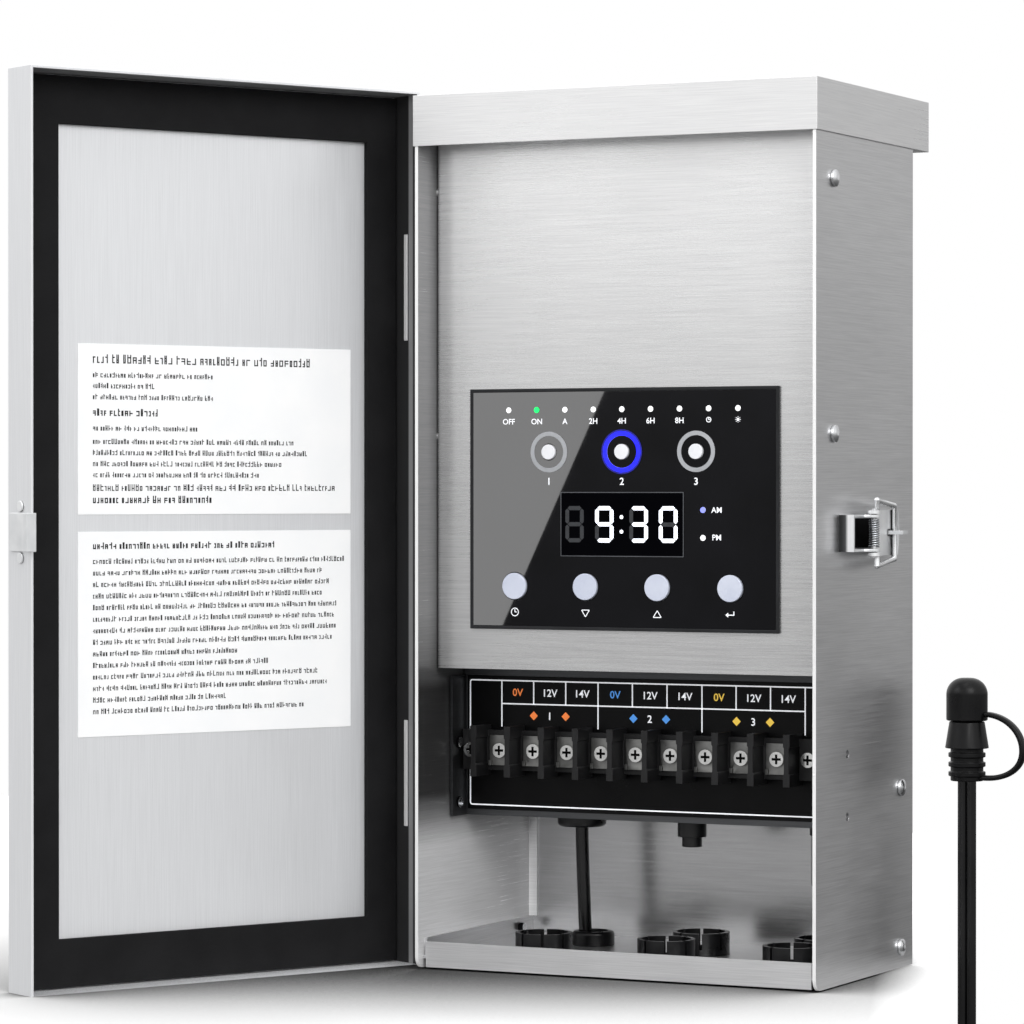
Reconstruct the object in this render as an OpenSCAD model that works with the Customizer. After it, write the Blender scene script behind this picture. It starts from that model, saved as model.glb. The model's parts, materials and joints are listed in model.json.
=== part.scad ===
// Low voltage landscape transformer: a wall-hung stainless box with a swinging tray door,
// a timer panel, a nine-way terminal strip and a capped light sensor on a lead.
// Sizes are in millimetres. Inside placed(), X runs across the box from its middle, Y runs back
// from the front edges of the side walls and Z runs up from their bottom edges.

/* [Case] */
// Outside width of the case
case_w = 180.8; // [170:0.1:200]
// Depth of the case from its front edges to its back
case_d = 107.4; // [100:0.1:130]
// Height over the rain cap
case_h = 365; // [340:1:400]
// Steel thickness of the case walls
sheet = 1.5; // [1:0.1:2]
// Radius of the side walls' lower front corners
wall_corner_r = 5; // [2:0.5:10]
// How far the case hangs off the wall
wall_gap = 17.6; // [17.6:0.1:30]

/* [Rain cap] */
// Steel thickness of the cap
cap_sheet = 0.6; // [0.5:0.1:1]
// Drop of the cap's skirt below its top
cap_drop = 21.2; // [15:0.1:30]
// Play between the cap and the case walls
cap_play = 0.1; // [0.1:0.05:0.5]
// How far the cap reaches behind the case
cap_overhang = 17; // [10:0.1:17.5]

/* [Front panel] */
// How far the panel lies behind the wall edges
panel_recess = 15; // [12:0.1:20]
// Steel thickness of the panel and the brackets
panel_sheet = 1.2; // [0.8:0.1:1.5]
// Height of the panel's lower edge
panel_bottom = 125.2; // [120:0.1:130]
// Gap between the panel and each side wall
panel_gap = 0.6; // [0.3:0.1:1]
// Outside radius of the panel's bends
bend_r = 2.6; // [2:0.1:4]

/* [Controls] */
// Width of the control panel
control_w = 140.2; // [130:0.1:150]
// Height of the control panel
control_h = 100.2; // [90:0.1:105]
// Offset of the control panel's middle from the case's middle
control_x = -1.4; // [-4:0.1:4]
// Height of the control panel's middle
control_z = 192.2; // [188:0.1:200]
// Width of the thin frame round the glass
bezel_w = 1.4; // [1:0.1:2]
// Diameter of the four keys
key_d = 11; // [9:0.1:12]
// Outside diameter of the rings round the zone keys
ring_d = 16.9; // [15:0.1:18]
// Diameter of the zone keys
zone_key_d = 6.3; // [5:0.1:7]
// Travel of every key
key_travel = 0.8; // [0.4:0.1:0.8]

/* [Terminals] */
// Number of terminals
terminals = 9; // [6:1:9]
// Distance from one terminal to the next
terminal_pitch = 15.9; // [15:0.1:15.9]
// How far the terminal plate lies behind the wall edges
terminal_recess = 41; // [38:0.1:45]
// Height of the terminal screws
terminal_z = 89.8; // [85:0.1:92]
// Height of the compartment's floor above the wiring space
shelf_z = 61.6; // [58:0.1:64]

/* [Door] */
// How far the door stands open
door_open = 117.2; // [90:0.1:135]
// Steel thickness of the door
door_sheet = 1.2; // [0.8:0.1:1.5]
// Depth of the door's flanges
door_depth = 18.5; // [15:0.1:20]
// Play between the door's flanges and the rain cap
door_play = 1.4; // [1.4:0.1:2]
// Width of the door's gasket
gasket_w = 20; // [15:0.5:25]

/* [Wiring space] */
// Outside diameter of the snap bushings
bushing_d = 24; // [22:0.1:25]
// Bore of the snap bushings
bushing_bore = 20.6; // [18:0.1:20.6]
// Height of the pan's floor
pan_z = 5; // [4:0.1:7]
// Height of the pan's lip
pan_lip = 11; // [10:0.1:13]

/* [Leads] */
// Diameter of the mains cord
cord_d = 5.6; // [5:0.1:6]
// Width of the sensor's two-core lead
lead_w = 8; // [7:0.1:8.4]
// Thickness of the sensor's two-core lead
lead_t = 4.2; // [3.8:0.1:4.6]
// Turns in the mains cord's coil
cord_turns = 7; // [5:1:8]
// Turns in the sensor lead's coil, which ends half a turn on
lead_turns = 4; // [3:1:4]

/* [Hidden] */

// Overrun of every cut past the face that it opens
cut = 0.5;
// Facets of round pieces, which come out as true cylinders
$fn = 48;
// Facets of the round pieces that hulls and profiles use
hull_fn = 32;

// Case
half_w = case_w / 2;
inner_w = case_w - 2 * sheet;
half_in = inner_w / 2;
back_in = case_d - sheet;
wall_y = case_d + wall_gap;
cap_half = half_w + cap_play + cap_sheet;
cap_front = -(cap_play + cap_sheet);
cap_back = case_d + cap_overhang;
// The hook bracket's screws set the height of the origin
bracket_drop = 65;
bracket_z = case_h - bracket_drop;
// Width of the return flanges in the lower back corners
return_w = 4;

// Front panel and what it carries
panel_half = half_in - panel_gap;
panel_top = case_h - cap_sheet;
side_flange = 16;
bezel_proud = 1.4;
glass_proud = 1.1;
glass_half_w = control_w / 2 - bezel_w;
glass_half_h = control_h / 2 - bezel_w;
window_margin = 5;
glass_y = panel_recess - glass_proud;
key_proud = 1;
key_play = 0.3;
key_back = 3;
stem_d = 4;
stem_len = 2.2;
board_t = 1.6;
board_gap = 2.8;
board_y = panel_recess + key_back + stem_len + key_travel + board_gap;
board_margin = 8;
post_d = 6;
inlay_t = 0.2;
lens_d = 2.4;
ring_width = 1.8;
// Places on the glass: heights are from its middle, and pitches are shares of its half width
key_drop = 32.1;
zone_rise = 23.7;
lens_rise = 41.2;
am_drop = 0.2;
pm_drop = 11.6;
display_drop = 6.2;
key_pitch_share = 0.4747;
zone_pitch_share = 0.4862;
lens_pitch_share = 0.18923;
clock_lens_share = 0.5313;
display_w_share = 0.8137;
display_h_share = 0.5474;
key_shift = -0.3;
lens_count = 9;
key_pitch = key_pitch_share * glass_half_w;
zone_pitch = zone_pitch_share * glass_half_w;
lens_pitch = lens_pitch_share * glass_half_w;
key_z = control_z - key_drop;
key_xs = [for (k = [0:3]) control_x + key_shift + (k - 3 / 2) * key_pitch];
zone_z = control_z + zone_rise;
zone_xs = [for (k = [-1:1]) control_x + k * zone_pitch];
lens_z = control_z + lens_rise;
lens_x = control_x - (lens_count - 1) / 2 * lens_pitch;
clock_lens_x = control_x + clock_lens_share * glass_half_w;
clock_lens_zs = [control_z - am_drop, control_z - pm_drop];
display_x = control_x;
display_z = control_z - display_drop;
display_w = display_w_share * glass_half_w;
display_h = display_h_share * glass_half_h;

// Inside the upper compartment
torus_d = 92;
torus_tube = 34;
torus_x = 0;
torus_drop = 80;
torus_z = case_h - torus_drop;
torus_wash_d = 60;
torus_wash_t = 2;
torus_bolt_d = 8;

// Terminal bracket, label, block, clamps and screws
bracket_flange = 13;
label_t = 0.8;
label_margin = 2.6;
label_half = half_in - label_margin;
label_bottom = 64.2;
label_top = 121.2;
barrier_first = -76.4;
barrier_t = 3;
barrier_waist = 2.2;
barrier_h = 21.4;
barrier_foot = 5;
barrier_proud = 14.2;
block_h = 17;
block_t = 3;
ear_w = 8.6;
ear_t = 4;
clamp_w = 10.4;
clamp_h = 12.8;
clamp_t = 1.2;
clamp_bend = 2.2;
screw_head_d = 6.2;
screw_head_t = 1.6;
screw_slot = 1;
screw_slot_l = 4;
block_y = terminal_recess - label_t;
block_front = block_y - block_t;
shelf_flange = 20;

// Screws in the walls: places are [distance behind the front, height]
top_screw_drop = 39.4;
middle_screw_rise = 30.6;
panel_screw_y = 18.4;
wall_screw_d = 7;
wall_screw_t = 2.2;
wall_shank_d = 3.5;
wall_shank_l = 5;
right_screws = [[panel_screw_y, case_h - top_screw_drop], [panel_screw_y, control_z + middle_screw_rise],
    [93, 75.5], [93, 8.6]];
left_screws = [[33.6, 92.9], [33.6, 67.5]];
left_head_d = 4.6;
left_head_t = 1;

// Bottom pan
pan_sheet = 1.2;
pan_recess = 3.4;
pan_side = 1.8;
pan_flange = 12.4;
lip_low = 0.3;
bushing_h = 9.5;
bushing_rim = 1.4;
bushing_rim_d = 27;
bushing_play = 0.2;
bushing_hole = bushing_d + 2 * bushing_play;
bushing_slits = 8;
slit_w = 1.2;
slit_h = 7;
front_row_y = 30;
front_row_shares = [-0.5062, 0.1282, 0.7604];
front_row_xs = [for (share = front_row_shares) share * half_in];
rear_row_y = 62;
rear_row_shares = [0.1462, 0.7683];
rear_row_xs = [for (share = rear_row_shares) share * half_in];
grommet_x = -42;
grommet_y = 72;
grommet_d = 18.2;
grommet_neck = 15.2;
grommet_bore = 12.6;
grommet_h = 6.2;
grommet_under = 2;
grommet_round = 1.6;

// Fittings under the compartment's floor
gland_x = -47.4;
gland_y = grommet_y;
gland_d = 21;
gland_h = 5.8;
gland_round = 2;
gland_bore_play = 0.2;
gland_seat = 3;
gland_hole = 14;
breaker_x = 9.7;
breaker_y = 60;
breaker_flange_d = 16.4;
breaker_flange_t = 1;
breaker_d = 12.2;
breaker_h = 6.3;
reset_d = 8.4;
reset_play = 0.1;
reset_out = 4.2;
reset_in = 2;
reset_travel = 1.8;
jack_x = 68.3;
jack_y = 61;
jack_flange_d = 16.4;
jack_flange_t = 1.2;
jack_d = 10.4;
jack_h = 4.6;
jack_plug_d = 9;
jack_plug_h = 22;
jack_plug_round = 2;

// Hinges: the axis stands outside the left wall, behind the door's rim
hinge_r = 3;
hinge_out = 3.8;
hinge_x = -(half_w + hinge_out);
hinge_y = 16.6;
hinge_len = 46;
hinge_low = 80;
hinge_drop = 79;
hinge_zs = [hinge_low, case_h - hinge_drop];
hinge_leaf_t = 1;
hinge_pin_r = 1.4;
hinge_pin_play = 0.08;
hinge_end_gap = 0.3;
hinge_case_leaf = 13;
hinge_door_leaf = 14;
hinge_rivet_d = 3.6;
hinge_rivet_t = 0.4;
hinge_rivet_step = 26;
hinge_rivet_y = 8;

// Door in its closed place
door_rim = 13;
door_in = cap_half + door_play;
door_half = door_in + door_sheet;
door_low = -1.8;
door_over = 3.5;
door_high = case_h + door_over;
door_face = door_rim - door_depth;
door_back = door_face + door_sheet;
gasket_t = 2.6;
gasket_gap = 0.6;
gasket_hinge_w = 15.5;
label_sheet = 0.25;
label_left = 22.5;
label_right = 30;
// The labels' lowest and highest places with the door closed
door_label_zs = [[190.2, 259.4], [100.2, 183.2]];

// Strike on the door's free flange
strike_z = 183.4;
strike_h = 15.4;
strike_t = 0.9;
strike_len = 16;
strike_past = 4.4;
strike_hook = 4.4;
strike_lip = 3.4;
strike_rivet_d = 4.4;
strike_rivet_t = 0.8;
strike_rivet_step = 20.6;

// Latch on the right wall
latch_z = 182.6;
latch_y = 40;
latch_out = 9;
latch_x = half_w + latch_out;
latch_front = 24.5;
latch_back = 37;
latch_high = 6.4;
latch_tall = 15;
latch_wall = 1.1;
latch_pin_r = 1.1;
latch_pin_play = 0.08;
latch_barrel_r = 2.5;
lever_w = 18.6;
lever_t = 1.2;
lever_from = 4.6;
lever_len = 41.5;
lever_off = 1.05;
lever_curl = 3;
lever_lean = 9;
lever_round = 20;
staple_from = 26.4;
staple_len = 5.4;
staple_out = 11.4;
staple_t = 1.5;
staple_hole_d = 3.2;
staple_play = 0.7;
bail_r = 1.15;
bail_corner_r = 1.2;
bail_pivot_r = 4.6;
bail_pivot_out = 0.2;
bail_len = 29.4;
bail_half = 13.4;
bail_far_half = 11;
bail_lean = 7.5;
eye_r = 2.2;
eye_t = 1.4;
spring_r = 2.1;
spring_wire = 0.7;
spring_turns = 12;
spring_rings = 8;
spring_h = 11;

// Hook bracket, hanger and bumpers behind the case
bracket_w = 120;
bracket_t = 2;
bracket_low = 14;
bracket_high = 12;
bracket_reach = 10;
hook_lip = 12;
bracket_hole_d = 5;
bracket_spacing = 80;
hanger_w = 100;
hanger_low = 6;
hanger_reach = 12.6;
hanger_lip = 9;
bumper_d = 22;
bumper_x = 60;
bumper_z = 40;

// Mains cord: drop from the gland, coil under the box, tail and plug
coil_r = 31;
coil_z = -88;
turn_gap = 0.6;
coil_pitch = cord_d + turn_gap;
cord_x = -44;
coil_x = cord_x - coil_r;
tail_y = grommet_y - cord_turns * coil_pitch;
plug_z = -178;
plug_w = 27;
plug_t = 21;
plug_h = 36;
plug_neck_d = 9;
plug_base_d = 14;
plug_neck_h = 22;
blade_w = 6.3;
blade_t = 1.5;
blade_l = 17.5;
blade_gap = 12.7;
ground_d = 4.8;
ground_l = 20;
ground_off = 11.9;
tie_t = 0.8;
tie_w = 12;
tie_play = 0.9;
cord_sides = 8;
loop_sides = 6;
loop_rings = 24;

// Sensor lead: drop from the jack, coil under the box, rise beside the box to the sensor
lead_r = 34;
lead_z = -92;
lead_pitch = lead_w + turn_gap;
sensor_x = 111.9;
sensor_y = 115;
lead_x = sensor_x - lead_r;
lead_in_y = sensor_y - (lead_turns + 1 / 2) * lead_pitch;

// Sensor: ribbed boot, tapered collar, domed cap and its strap
boot_low = 77.6;
boot_d = 13.8;
rib_d = 15.6;
rib_h = 2;
rib_step = 4;
collar_low = 91.4;
collar_low_d = 18.4;
collar_top_d = 14.8;
lens_body_d = 12;
lens_body_top = 117;
cap_low = 103;
cap_d = 17.4;
cap_top = 121;
cap_round = 7;
cap_air = 0.4;
strap_r = 17;
strap_w = 4;
strap_t = 1.6;
strap_out = 7.1;
strap_over = 3.2;
strap_from = -120;
strap_to = 112;
strap_step = 8;

// The routes' points, [x, y, z], chosen by hand
cord_route = [
    [-47.4, 72, 58.8], [-47.4, 72, 50], [-47.4, 72, 38], [-47.2, 72, 28], [-46.3, 72, 18], [-45, 72, 8],
    [-44.2, 72, -3], [-44, 72, -14], [-44, 72, -30], [-44, 72, -46], [-44, 72, -62], [-44, 72, -76],
    [-44, 72, -88]
];
tail_route = [
    [-44, 28.6, -88], [-44, 28.6, -100], [-44, 28.6, -114], [-44, 28.6, -128], [-44, 28.6, -142],
    [-44, 28.6, -156]
];
lead_drop_route = [
    [68.3, 61, 35], [68.3, 61, 24], [68.3, 61, 12], [68.3, 61, 0], [67.6, 61.4, -12], [65, 63, -24],
    [60.6, 65.8, -36], [55, 69.4, -48], [49.6, 72.7, -60], [45.6, 75.2, -72], [44, 76.2, -84],
    [43.9, 76.3, -92]
];
lead_rise_route = [
    [111.9, 115, -92], [111.9, 115, -80], [111.9, 115, -60], [111.9, 115, -40], [111.9, 115, -20],
    [111.9, 115, 0], [111.9, 115, 20], [111.9, 115, 40], [111.9, 115, 60], [111.9, 115, 77.6]
];

function unit(v) = v / norm(v);
function along(pts, i) = unit(pts[min(i + 1, len(pts) - 1)] - pts[max(i - 1, 0)]);
// A ring of points square to the route: flat is the direction of the tube's width
function ring_at(p, t, flat, a, b, sides) =
    let (u = unit(flat - (flat * t) * t), v = cross(t, u))
    [for (k = [0:sides - 1]) p + u * a * cos(360 * k / sides) + v * b * sin(360 * k / sides)];
function least_gap(pts, skip) = min([for (i = [0:len(pts) - 1 - skip])
    min([for (j = [i + skip:len(pts) - 1]) norm(pts[i] - pts[j])])]);
// A coil parallel to the wall, which starts and ends at its side: way is -1 for clockwise
function coil_points(cx, cz, y0, r, turns, pitch, way, rings) =
    [for (i = [0:round(turns * rings)]) let (a = 360 * i / rings)
        [cx - way * r * cos(a), y0 + pitch * i / rings, cz - r * sin(a)]];

cord_coil = coil_points(coil_x, coil_z, grommet_y, coil_r, cord_turns, -coil_pitch, -1, loop_rings);
lead_coil = coil_points(lead_x, lead_z, lead_in_y, lead_r, lead_turns + 1 / 2, lead_pitch, 1, loop_rings);
echo(cord_coil_gap = least_gap(cord_coil, loop_rings - 2) - cord_d);
echo(lead_coil_gap = least_gap(lead_coil, loop_rings - 2) - lead_w);

module placed() {
    translate([0, -wall_y, -bracket_z])
        children();
}

// A tube of a by b half sizes along the points, as one closed mesh
module tube(pts, a, b, sides, flat) {
    n = len(pts);
    rings = [for (i = [0:n - 1]) ring_at(pts[i], along(pts, i), flat, a, b, sides)];
    corners = [for (r = rings) for (p = r) p];
    polyhedron(corners, [
        [for (k = [0:sides - 1]) k],
        for (i = [0:n - 2]) for (k = [0:sides - 1]) let (m = (k + 1) % sides)
            each [[i * sides + k, (i + 1) * sides + k, (i + 1) * sides + m],
                [i * sides + k, (i + 1) * sides + m, i * sides + m]],
        [for (k = [sides - 1:-1:0]) (n - 1) * sides + k]
    ], convexity = 10);
}

// A box between two corners
module block(low, high) {
    translate(low)
        cube(high - low);
}

// A cylinder from a point along Y, which runs towards the wall
module rod_y(p, d, len) {
    translate(p)
        rotate([-90, 0, 0])
            cylinder(d = d, h = len);
}

// A cylinder from a point along X
module rod_x(p, d, len) {
    translate(p)
        rotate([0, 90, 0])
            cylinder(d = d, h = len);
}

// A Y and Z outline pushed along X from x0
module along_x(x0, len) {
    translate([x0, 0, 0])
        rotate([90, 0, 90])
            linear_extrude(len)
                children();
}

// The cross of a driver's recess, cut into a head that faces the viewer
module cross_recess(p, size, width, depth) {
    for (turn = [0, 90])
        translate(p)
            rotate([0, turn, 0])
                block([-size / 2, -cut, -width / 2], [size / 2, depth, width / 2]);
}

module side_wall(x0) {
    along_x(x0, sheet)
        difference() {
            square([case_d, panel_top]);
            difference() {
                translate([-cut, -cut])
                    square([wall_corner_r + cut, wall_corner_r + cut]);
                translate([wall_corner_r, wall_corner_r])
                    circle(r = wall_corner_r);
            }
        }
}

module case_shell() {
    color("silver") placed() difference() {
        union() {
            side_wall(-half_w);
            side_wall(half_in);
            block([-half_w, back_in, 0], [half_w, case_d, panel_top]);
            for (side = [-1, 1])
                block([side < 0 ? -half_in : half_in - return_w, back_in - sheet, pan_flange],
                    [side < 0 ? return_w - half_in : half_in, back_in, shelf_z]);
        }
        for (s = right_screws)
            for (x0 = [-half_w, half_in])
                rod_x([x0 - cut, s[0], s[1]], wall_shank_d, sheet + 2 * cut);
        for (s = left_screws)
            for (x0 = [-half_w, half_in])
                rod_x([x0 - cut, s[0], s[1]], wall_shank_d, sheet + 2 * cut);
    }
}

module rain_cap() {
    color("lightgray") placed() difference() {
        block([-cap_half, cap_front, case_h - cap_drop], [cap_half, cap_back, case_h]);
        block([cap_sheet - cap_half, cap_front + cap_sheet, case_h - cap_drop - cut],
            [cap_half - cap_sheet, cap_back - cap_sheet, case_h - cap_sheet]);
    }
}

module bottom_pan() {
    color("silver") placed() difference() {
        union() {
            block([pan_side - half_in, pan_recess, lip_low],
                [half_in - pan_side, pan_recess + pan_sheet, pan_lip]);
            block([-half_in, pan_recess + pan_sheet, pan_z - pan_sheet], [half_in, back_in, pan_z]);
            for (x0 = [-half_in, half_in - pan_sheet])
                block([x0, pan_recess + 2 * pan_sheet, pan_z - pan_sheet],
                    [x0 + pan_sheet, back_in, pan_flange]);
        }
        for (x = front_row_xs)
            translate([x, front_row_y, 0])
                cylinder(d = bushing_hole, h = pan_flange);
        for (x = rear_row_xs)
            translate([x, rear_row_y, 0])
                cylinder(d = bushing_hole, h = pan_flange);
        translate([grommet_x, grommet_y, 0])
            cylinder(d = grommet_neck, h = pan_flange);
        for (x0 = [-half_in, half_in - pan_sheet])
            rod_x([x0 - cut, right_screws[3][0], right_screws[3][1]], wall_shank_d, pan_sheet + 2 * cut);
    }
}

// The bent sheet of the panel, seen from above: its face and two flanges along the walls
module panel_outline() {
    difference() {
        hull() {
            for (side = [-1, 1])
                translate([side * (panel_half - bend_r), panel_recess + bend_r])
                    circle(r = bend_r, $fn = hull_fn);
            translate([-panel_half, panel_recess + side_flange])
                square([2 * panel_half, panel_sheet]);
        }
        hull() {
            for (side = [-1, 1])
                translate([side * (panel_half - bend_r), panel_recess + bend_r])
                    circle(r = bend_r - panel_sheet, $fn = hull_fn);
            translate([panel_sheet - panel_half, panel_recess + side_flange])
                square([2 * (panel_half - panel_sheet), panel_sheet + cut]);
        }
    }
}

module front_panel() {
    color("lightgray") placed() {
        difference() {
            translate([0, 0, panel_bottom])
                linear_extrude(panel_top - panel_bottom)
                    panel_outline();
            block([control_x - glass_half_w + window_margin, panel_recess - cut,
                    control_z - glass_half_h + window_margin],
                [control_x + glass_half_w - window_margin, panel_recess + bend_r + cut,
                    control_z + glass_half_h - window_margin]);
            for (i = [0, 1])
                for (x0 = [-panel_half, panel_half - panel_sheet])
                    rod_x([x0 - cut, right_screws[i][0], right_screws[i][1]], wall_shank_d,
                        panel_sheet + 2 * cut);
        }
        block([bend_r - panel_half, panel_recess + panel_sheet, panel_bottom],
            [panel_half - bend_r, terminal_recess + panel_sheet, panel_bottom + panel_sheet]);
    }
}

module terminal_bracket() {
    color("silver") placed() difference() {
        union() {
            block([-panel_half, terminal_recess, shelf_z],
                [panel_half, terminal_recess + panel_sheet, panel_bottom]);
            block([-panel_half, terminal_recess, shelf_z], [panel_half, back_in, shelf_z + panel_sheet]);
            for (x0 = [-panel_half, panel_half - panel_sheet]) {
                block([x0, terminal_recess - bracket_flange, shelf_z],
                    [x0 + panel_sheet, terminal_recess, label_top]);
                block([x0, terminal_recess, shelf_z], [x0 + panel_sheet, back_in, shelf_z + shelf_flange]);
            }
        }
        for (s = concat(left_screws, [right_screws[2]]))
            for (x0 = [-panel_half, panel_half - panel_sheet])
                rod_x([x0 - cut, s[0], s[1]], wall_shank_d, panel_sheet + 2 * cut);
        translate([breaker_x, breaker_y, shelf_z - cut])
            cylinder(d = breaker_d, h = panel_sheet + 2 * cut);
        translate([jack_x, jack_y, shelf_z - cut])
            cylinder(d = jack_d, h = panel_sheet + 2 * cut);
        translate([gland_x, gland_y, shelf_z - cut])
            cylinder(d = gland_hole, h = panel_sheet + 2 * cut);
    }
}

module terminal_label() {
    color("black") placed()
        block([-label_half, block_y, label_bottom], [label_half, terminal_recess, label_top]);
}

// One barrier's outline from the side, a waist between two feet
module barrier(x) {
    half = barrier_h / 2;
    translate([x, block_y - barrier_proud, terminal_z])
        rotate([-90, 0, 0])
            linear_extrude(barrier_proud)
                polygon([[-barrier_t / 2, -half], [barrier_t / 2, -half],
                    [barrier_t / 2, barrier_foot - half],
                    [barrier_waist / 2, barrier_foot - half + (barrier_t - barrier_waist) / 2],
                    [barrier_waist / 2, half - barrier_foot - (barrier_t - barrier_waist) / 2],
                    [barrier_t / 2, half - barrier_foot], [barrier_t / 2, half], [-barrier_t / 2, half],
                    [-barrier_t / 2, half - barrier_foot],
                    [-barrier_waist / 2, half - barrier_foot - (barrier_t - barrier_waist) / 2],
                    [-barrier_waist / 2, barrier_foot - half + (barrier_t - barrier_waist) / 2],
                    [-barrier_t / 2, barrier_foot - half]]);
}

function terminal_x(i) = barrier_first + terminal_pitch * (i + 1 / 2);
barrier_last = barrier_first + terminals * terminal_pitch;
ear_xs = [barrier_first - barrier_t / 2 - ear_w / 2, barrier_last + barrier_t / 2 + ear_w / 2];

module terminal_block() {
    color("dimgray") placed() difference() {
        union() {
            block([barrier_first, block_front, terminal_z - block_h / 2],
                [barrier_last, block_y, terminal_z + block_h / 2]);
            for (i = [0:terminals])
                barrier(barrier_first + i * terminal_pitch);
            for (x = ear_xs)
                block([x - ear_w / 2, block_y - ear_t, terminal_z - block_h / 2],
                    [x + ear_w / 2, block_y, terminal_z + block_h / 2]);
        }
        for (i = [0:terminals - 1])
            rod_y([terminal_x(i), block_front - cut, terminal_z], wall_shank_d, block_t);
        for (x = ear_xs)
            rod_y([x, block_y - ear_t - cut, terminal_z], wall_shank_d, ear_t);
    }
}

module terminal_clamps() {
    color("silver") placed()
        for (i = [0:terminals - 1])
            difference() {
                union() {
                    block([terminal_x(i) - clamp_w / 2, block_front - clamp_t, terminal_z - clamp_h / 2],
                        [terminal_x(i) + clamp_w / 2, block_front, terminal_z + clamp_h / 2]);
                    for (x0 = [terminal_x(i) - clamp_w / 2, terminal_x(i) + clamp_w / 2 - clamp_t])
                        block([x0, block_front - clamp_t - clamp_bend / 2, terminal_z - clamp_h / 2],
                            [x0 + clamp_t, block_front, terminal_z - clamp_h / 2 + clamp_bend]);
                }
                rod_y([terminal_x(i), block_front - clamp_t - cut, terminal_z], wall_shank_d,
                    clamp_t + 2 * cut);
            }
}

// A binding screw: its crossed head and the shank in its hole
module binding_screw(x, y) {
    difference() {
        rod_y([x, y - screw_head_t, terminal_z], screw_head_d, screw_head_t);
        cross_recess([x, y - screw_head_t, terminal_z], screw_slot_l, screw_slot, screw_head_t / 2);
    }
    rod_y([x, y, terminal_z], wall_shank_d, block_t - cut);
}

module terminal_screws() {
    color("white") placed() {
        for (i = [0:terminals - 1])
            binding_screw(terminal_x(i), block_front - clamp_t);
        for (x = ear_xs)
            binding_screw(x, block_y - ear_t);
    }
}

// A pan-head screw through a side wall: side is 1 on the right and -1 on the left
module wall_screw(side, y, z) {
    translate([side * half_w, y, z])
        rotate([0, side * 90, 0]) {
            intersection() {
                cylinder(d = wall_screw_d, h = wall_screw_t);
                translate([0, 0, wall_screw_t - wall_screw_d])
                    sphere(d = 2 * wall_screw_d);
            }
            translate([0, 0, -wall_shank_l])
                cylinder(d = wall_shank_d, h = wall_shank_l + wall_screw_t / 2);
        }
}

module case_screws() {
    color("white") placed() {
        for (s = right_screws)
            for (side = [-1, 1])
                if (side > 0 || s[0] > hinge_y + hinge_case_leaf)
                    wall_screw(side, s[0], s[1]);
        for (s = left_screws) {
            rod_x([panel_sheet - panel_half, s[0], s[1]], left_head_d, left_head_t);
            rod_x([-half_w, s[0], s[1]], wall_shank_d, sheet + panel_gap + panel_sheet);
        }
    }
}

module control_bezel() {
    color("dimgray") placed() difference() {
        block([control_x - control_w / 2, panel_recess - bezel_proud, control_z - control_h / 2],
            [control_x + control_w / 2, panel_recess, control_z + control_h / 2]);
        block([control_x - glass_half_w, panel_recess - bezel_proud - cut, control_z - glass_half_h],
            [control_x + glass_half_w, panel_recess + cut, control_z + glass_half_h]);
    }
}

module control_panel() {
    color("black") placed() {
        difference() {
            block([control_x - glass_half_w, glass_y, control_z - glass_half_h],
                [control_x + glass_half_w, panel_recess, control_z + glass_half_h]);
            for (x = key_xs)
                rod_y([x, glass_y - cut, key_z], key_d + 2 * key_play, glass_proud + 2 * cut);
            for (x = zone_xs)
                rod_y([x, glass_y - cut, zone_z], zone_key_d + 2 * key_play, glass_proud + 2 * cut);
        }
        for (sx = [-1, 1])
            for (sz = [-1, 1])
                rod_y([control_x + sx * (glass_half_w - board_margin - post_d / 2), panel_recess,
                    control_z + sz * (glass_half_h - board_margin - post_d / 2)], post_d,
                    board_y - panel_recess);
    }
}

module zone_rings() {
    color("lightgray") placed()
        for (x = zone_xs)
            difference() {
                rod_y([x, glass_y - inlay_t, zone_z], ring_d, inlay_t);
                rod_y([x, glass_y - inlay_t - cut, zone_z], ring_d - 2 * ring_width, inlay_t + 2 * cut);
            }
}

// A key: its cap in the glass, a skirt behind and a stem towards its switch
module key(x, z, d) {
    rod_y([x, glass_y - key_proud, z], d, key_proud + glass_proud + key_back);
    rod_y([x, panel_recess + key_back, z], stem_d, stem_len);
}

module zone_key_1() { color("white") placed() key(zone_xs[0], zone_z, zone_key_d); }
module zone_key_2() { color("white") placed() key(zone_xs[1], zone_z, zone_key_d); }
module zone_key_3() { color("white") placed() key(zone_xs[2], zone_z, zone_key_d); }
module key_clock() { color("lavender") placed() key(key_xs[0], key_z, key_d); }
module key_down() { color("lavender") placed() key(key_xs[1], key_z, key_d); }
module key_up() { color("lavender") placed() key(key_xs[2], key_z, key_d); }
module key_enter() { color("lavender") placed() key(key_xs[3], key_z, key_d); }

module indicator_lenses() {
    color("white") placed() {
        for (i = [0:lens_count - 1])
            rod_y([lens_x + i * lens_pitch, glass_y - inlay_t, lens_z], lens_d, inlay_t);
        for (z = clock_lens_zs)
            rod_y([clock_lens_x, glass_y - inlay_t, z], lens_d, inlay_t);
    }
}

module display_window() {
    color("black") placed()
        block([display_x - display_w / 2, glass_y - inlay_t, display_z - display_h / 2],
            [display_x + display_w / 2, glass_y, display_z + display_h / 2]);
}

module circuit_board() {
    color("darkgreen") placed()
        block([control_x - glass_half_w + board_margin, board_y, control_z - glass_half_h + board_margin],
            [control_x + glass_half_w - board_margin, board_y + board_t,
                control_z + glass_half_h - board_margin]);
}

module transformer_coil() {
    color("goldenrod") placed()
        translate([torus_x, back_in - torus_wash_t - torus_tube / 2, torus_z])
            rotate([90, 0, 0])
                rotate_extrude()
                    translate([(torus_d - torus_tube) / 2, 0])
                        circle(d = torus_tube, $fn = hull_fn);
}

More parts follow.
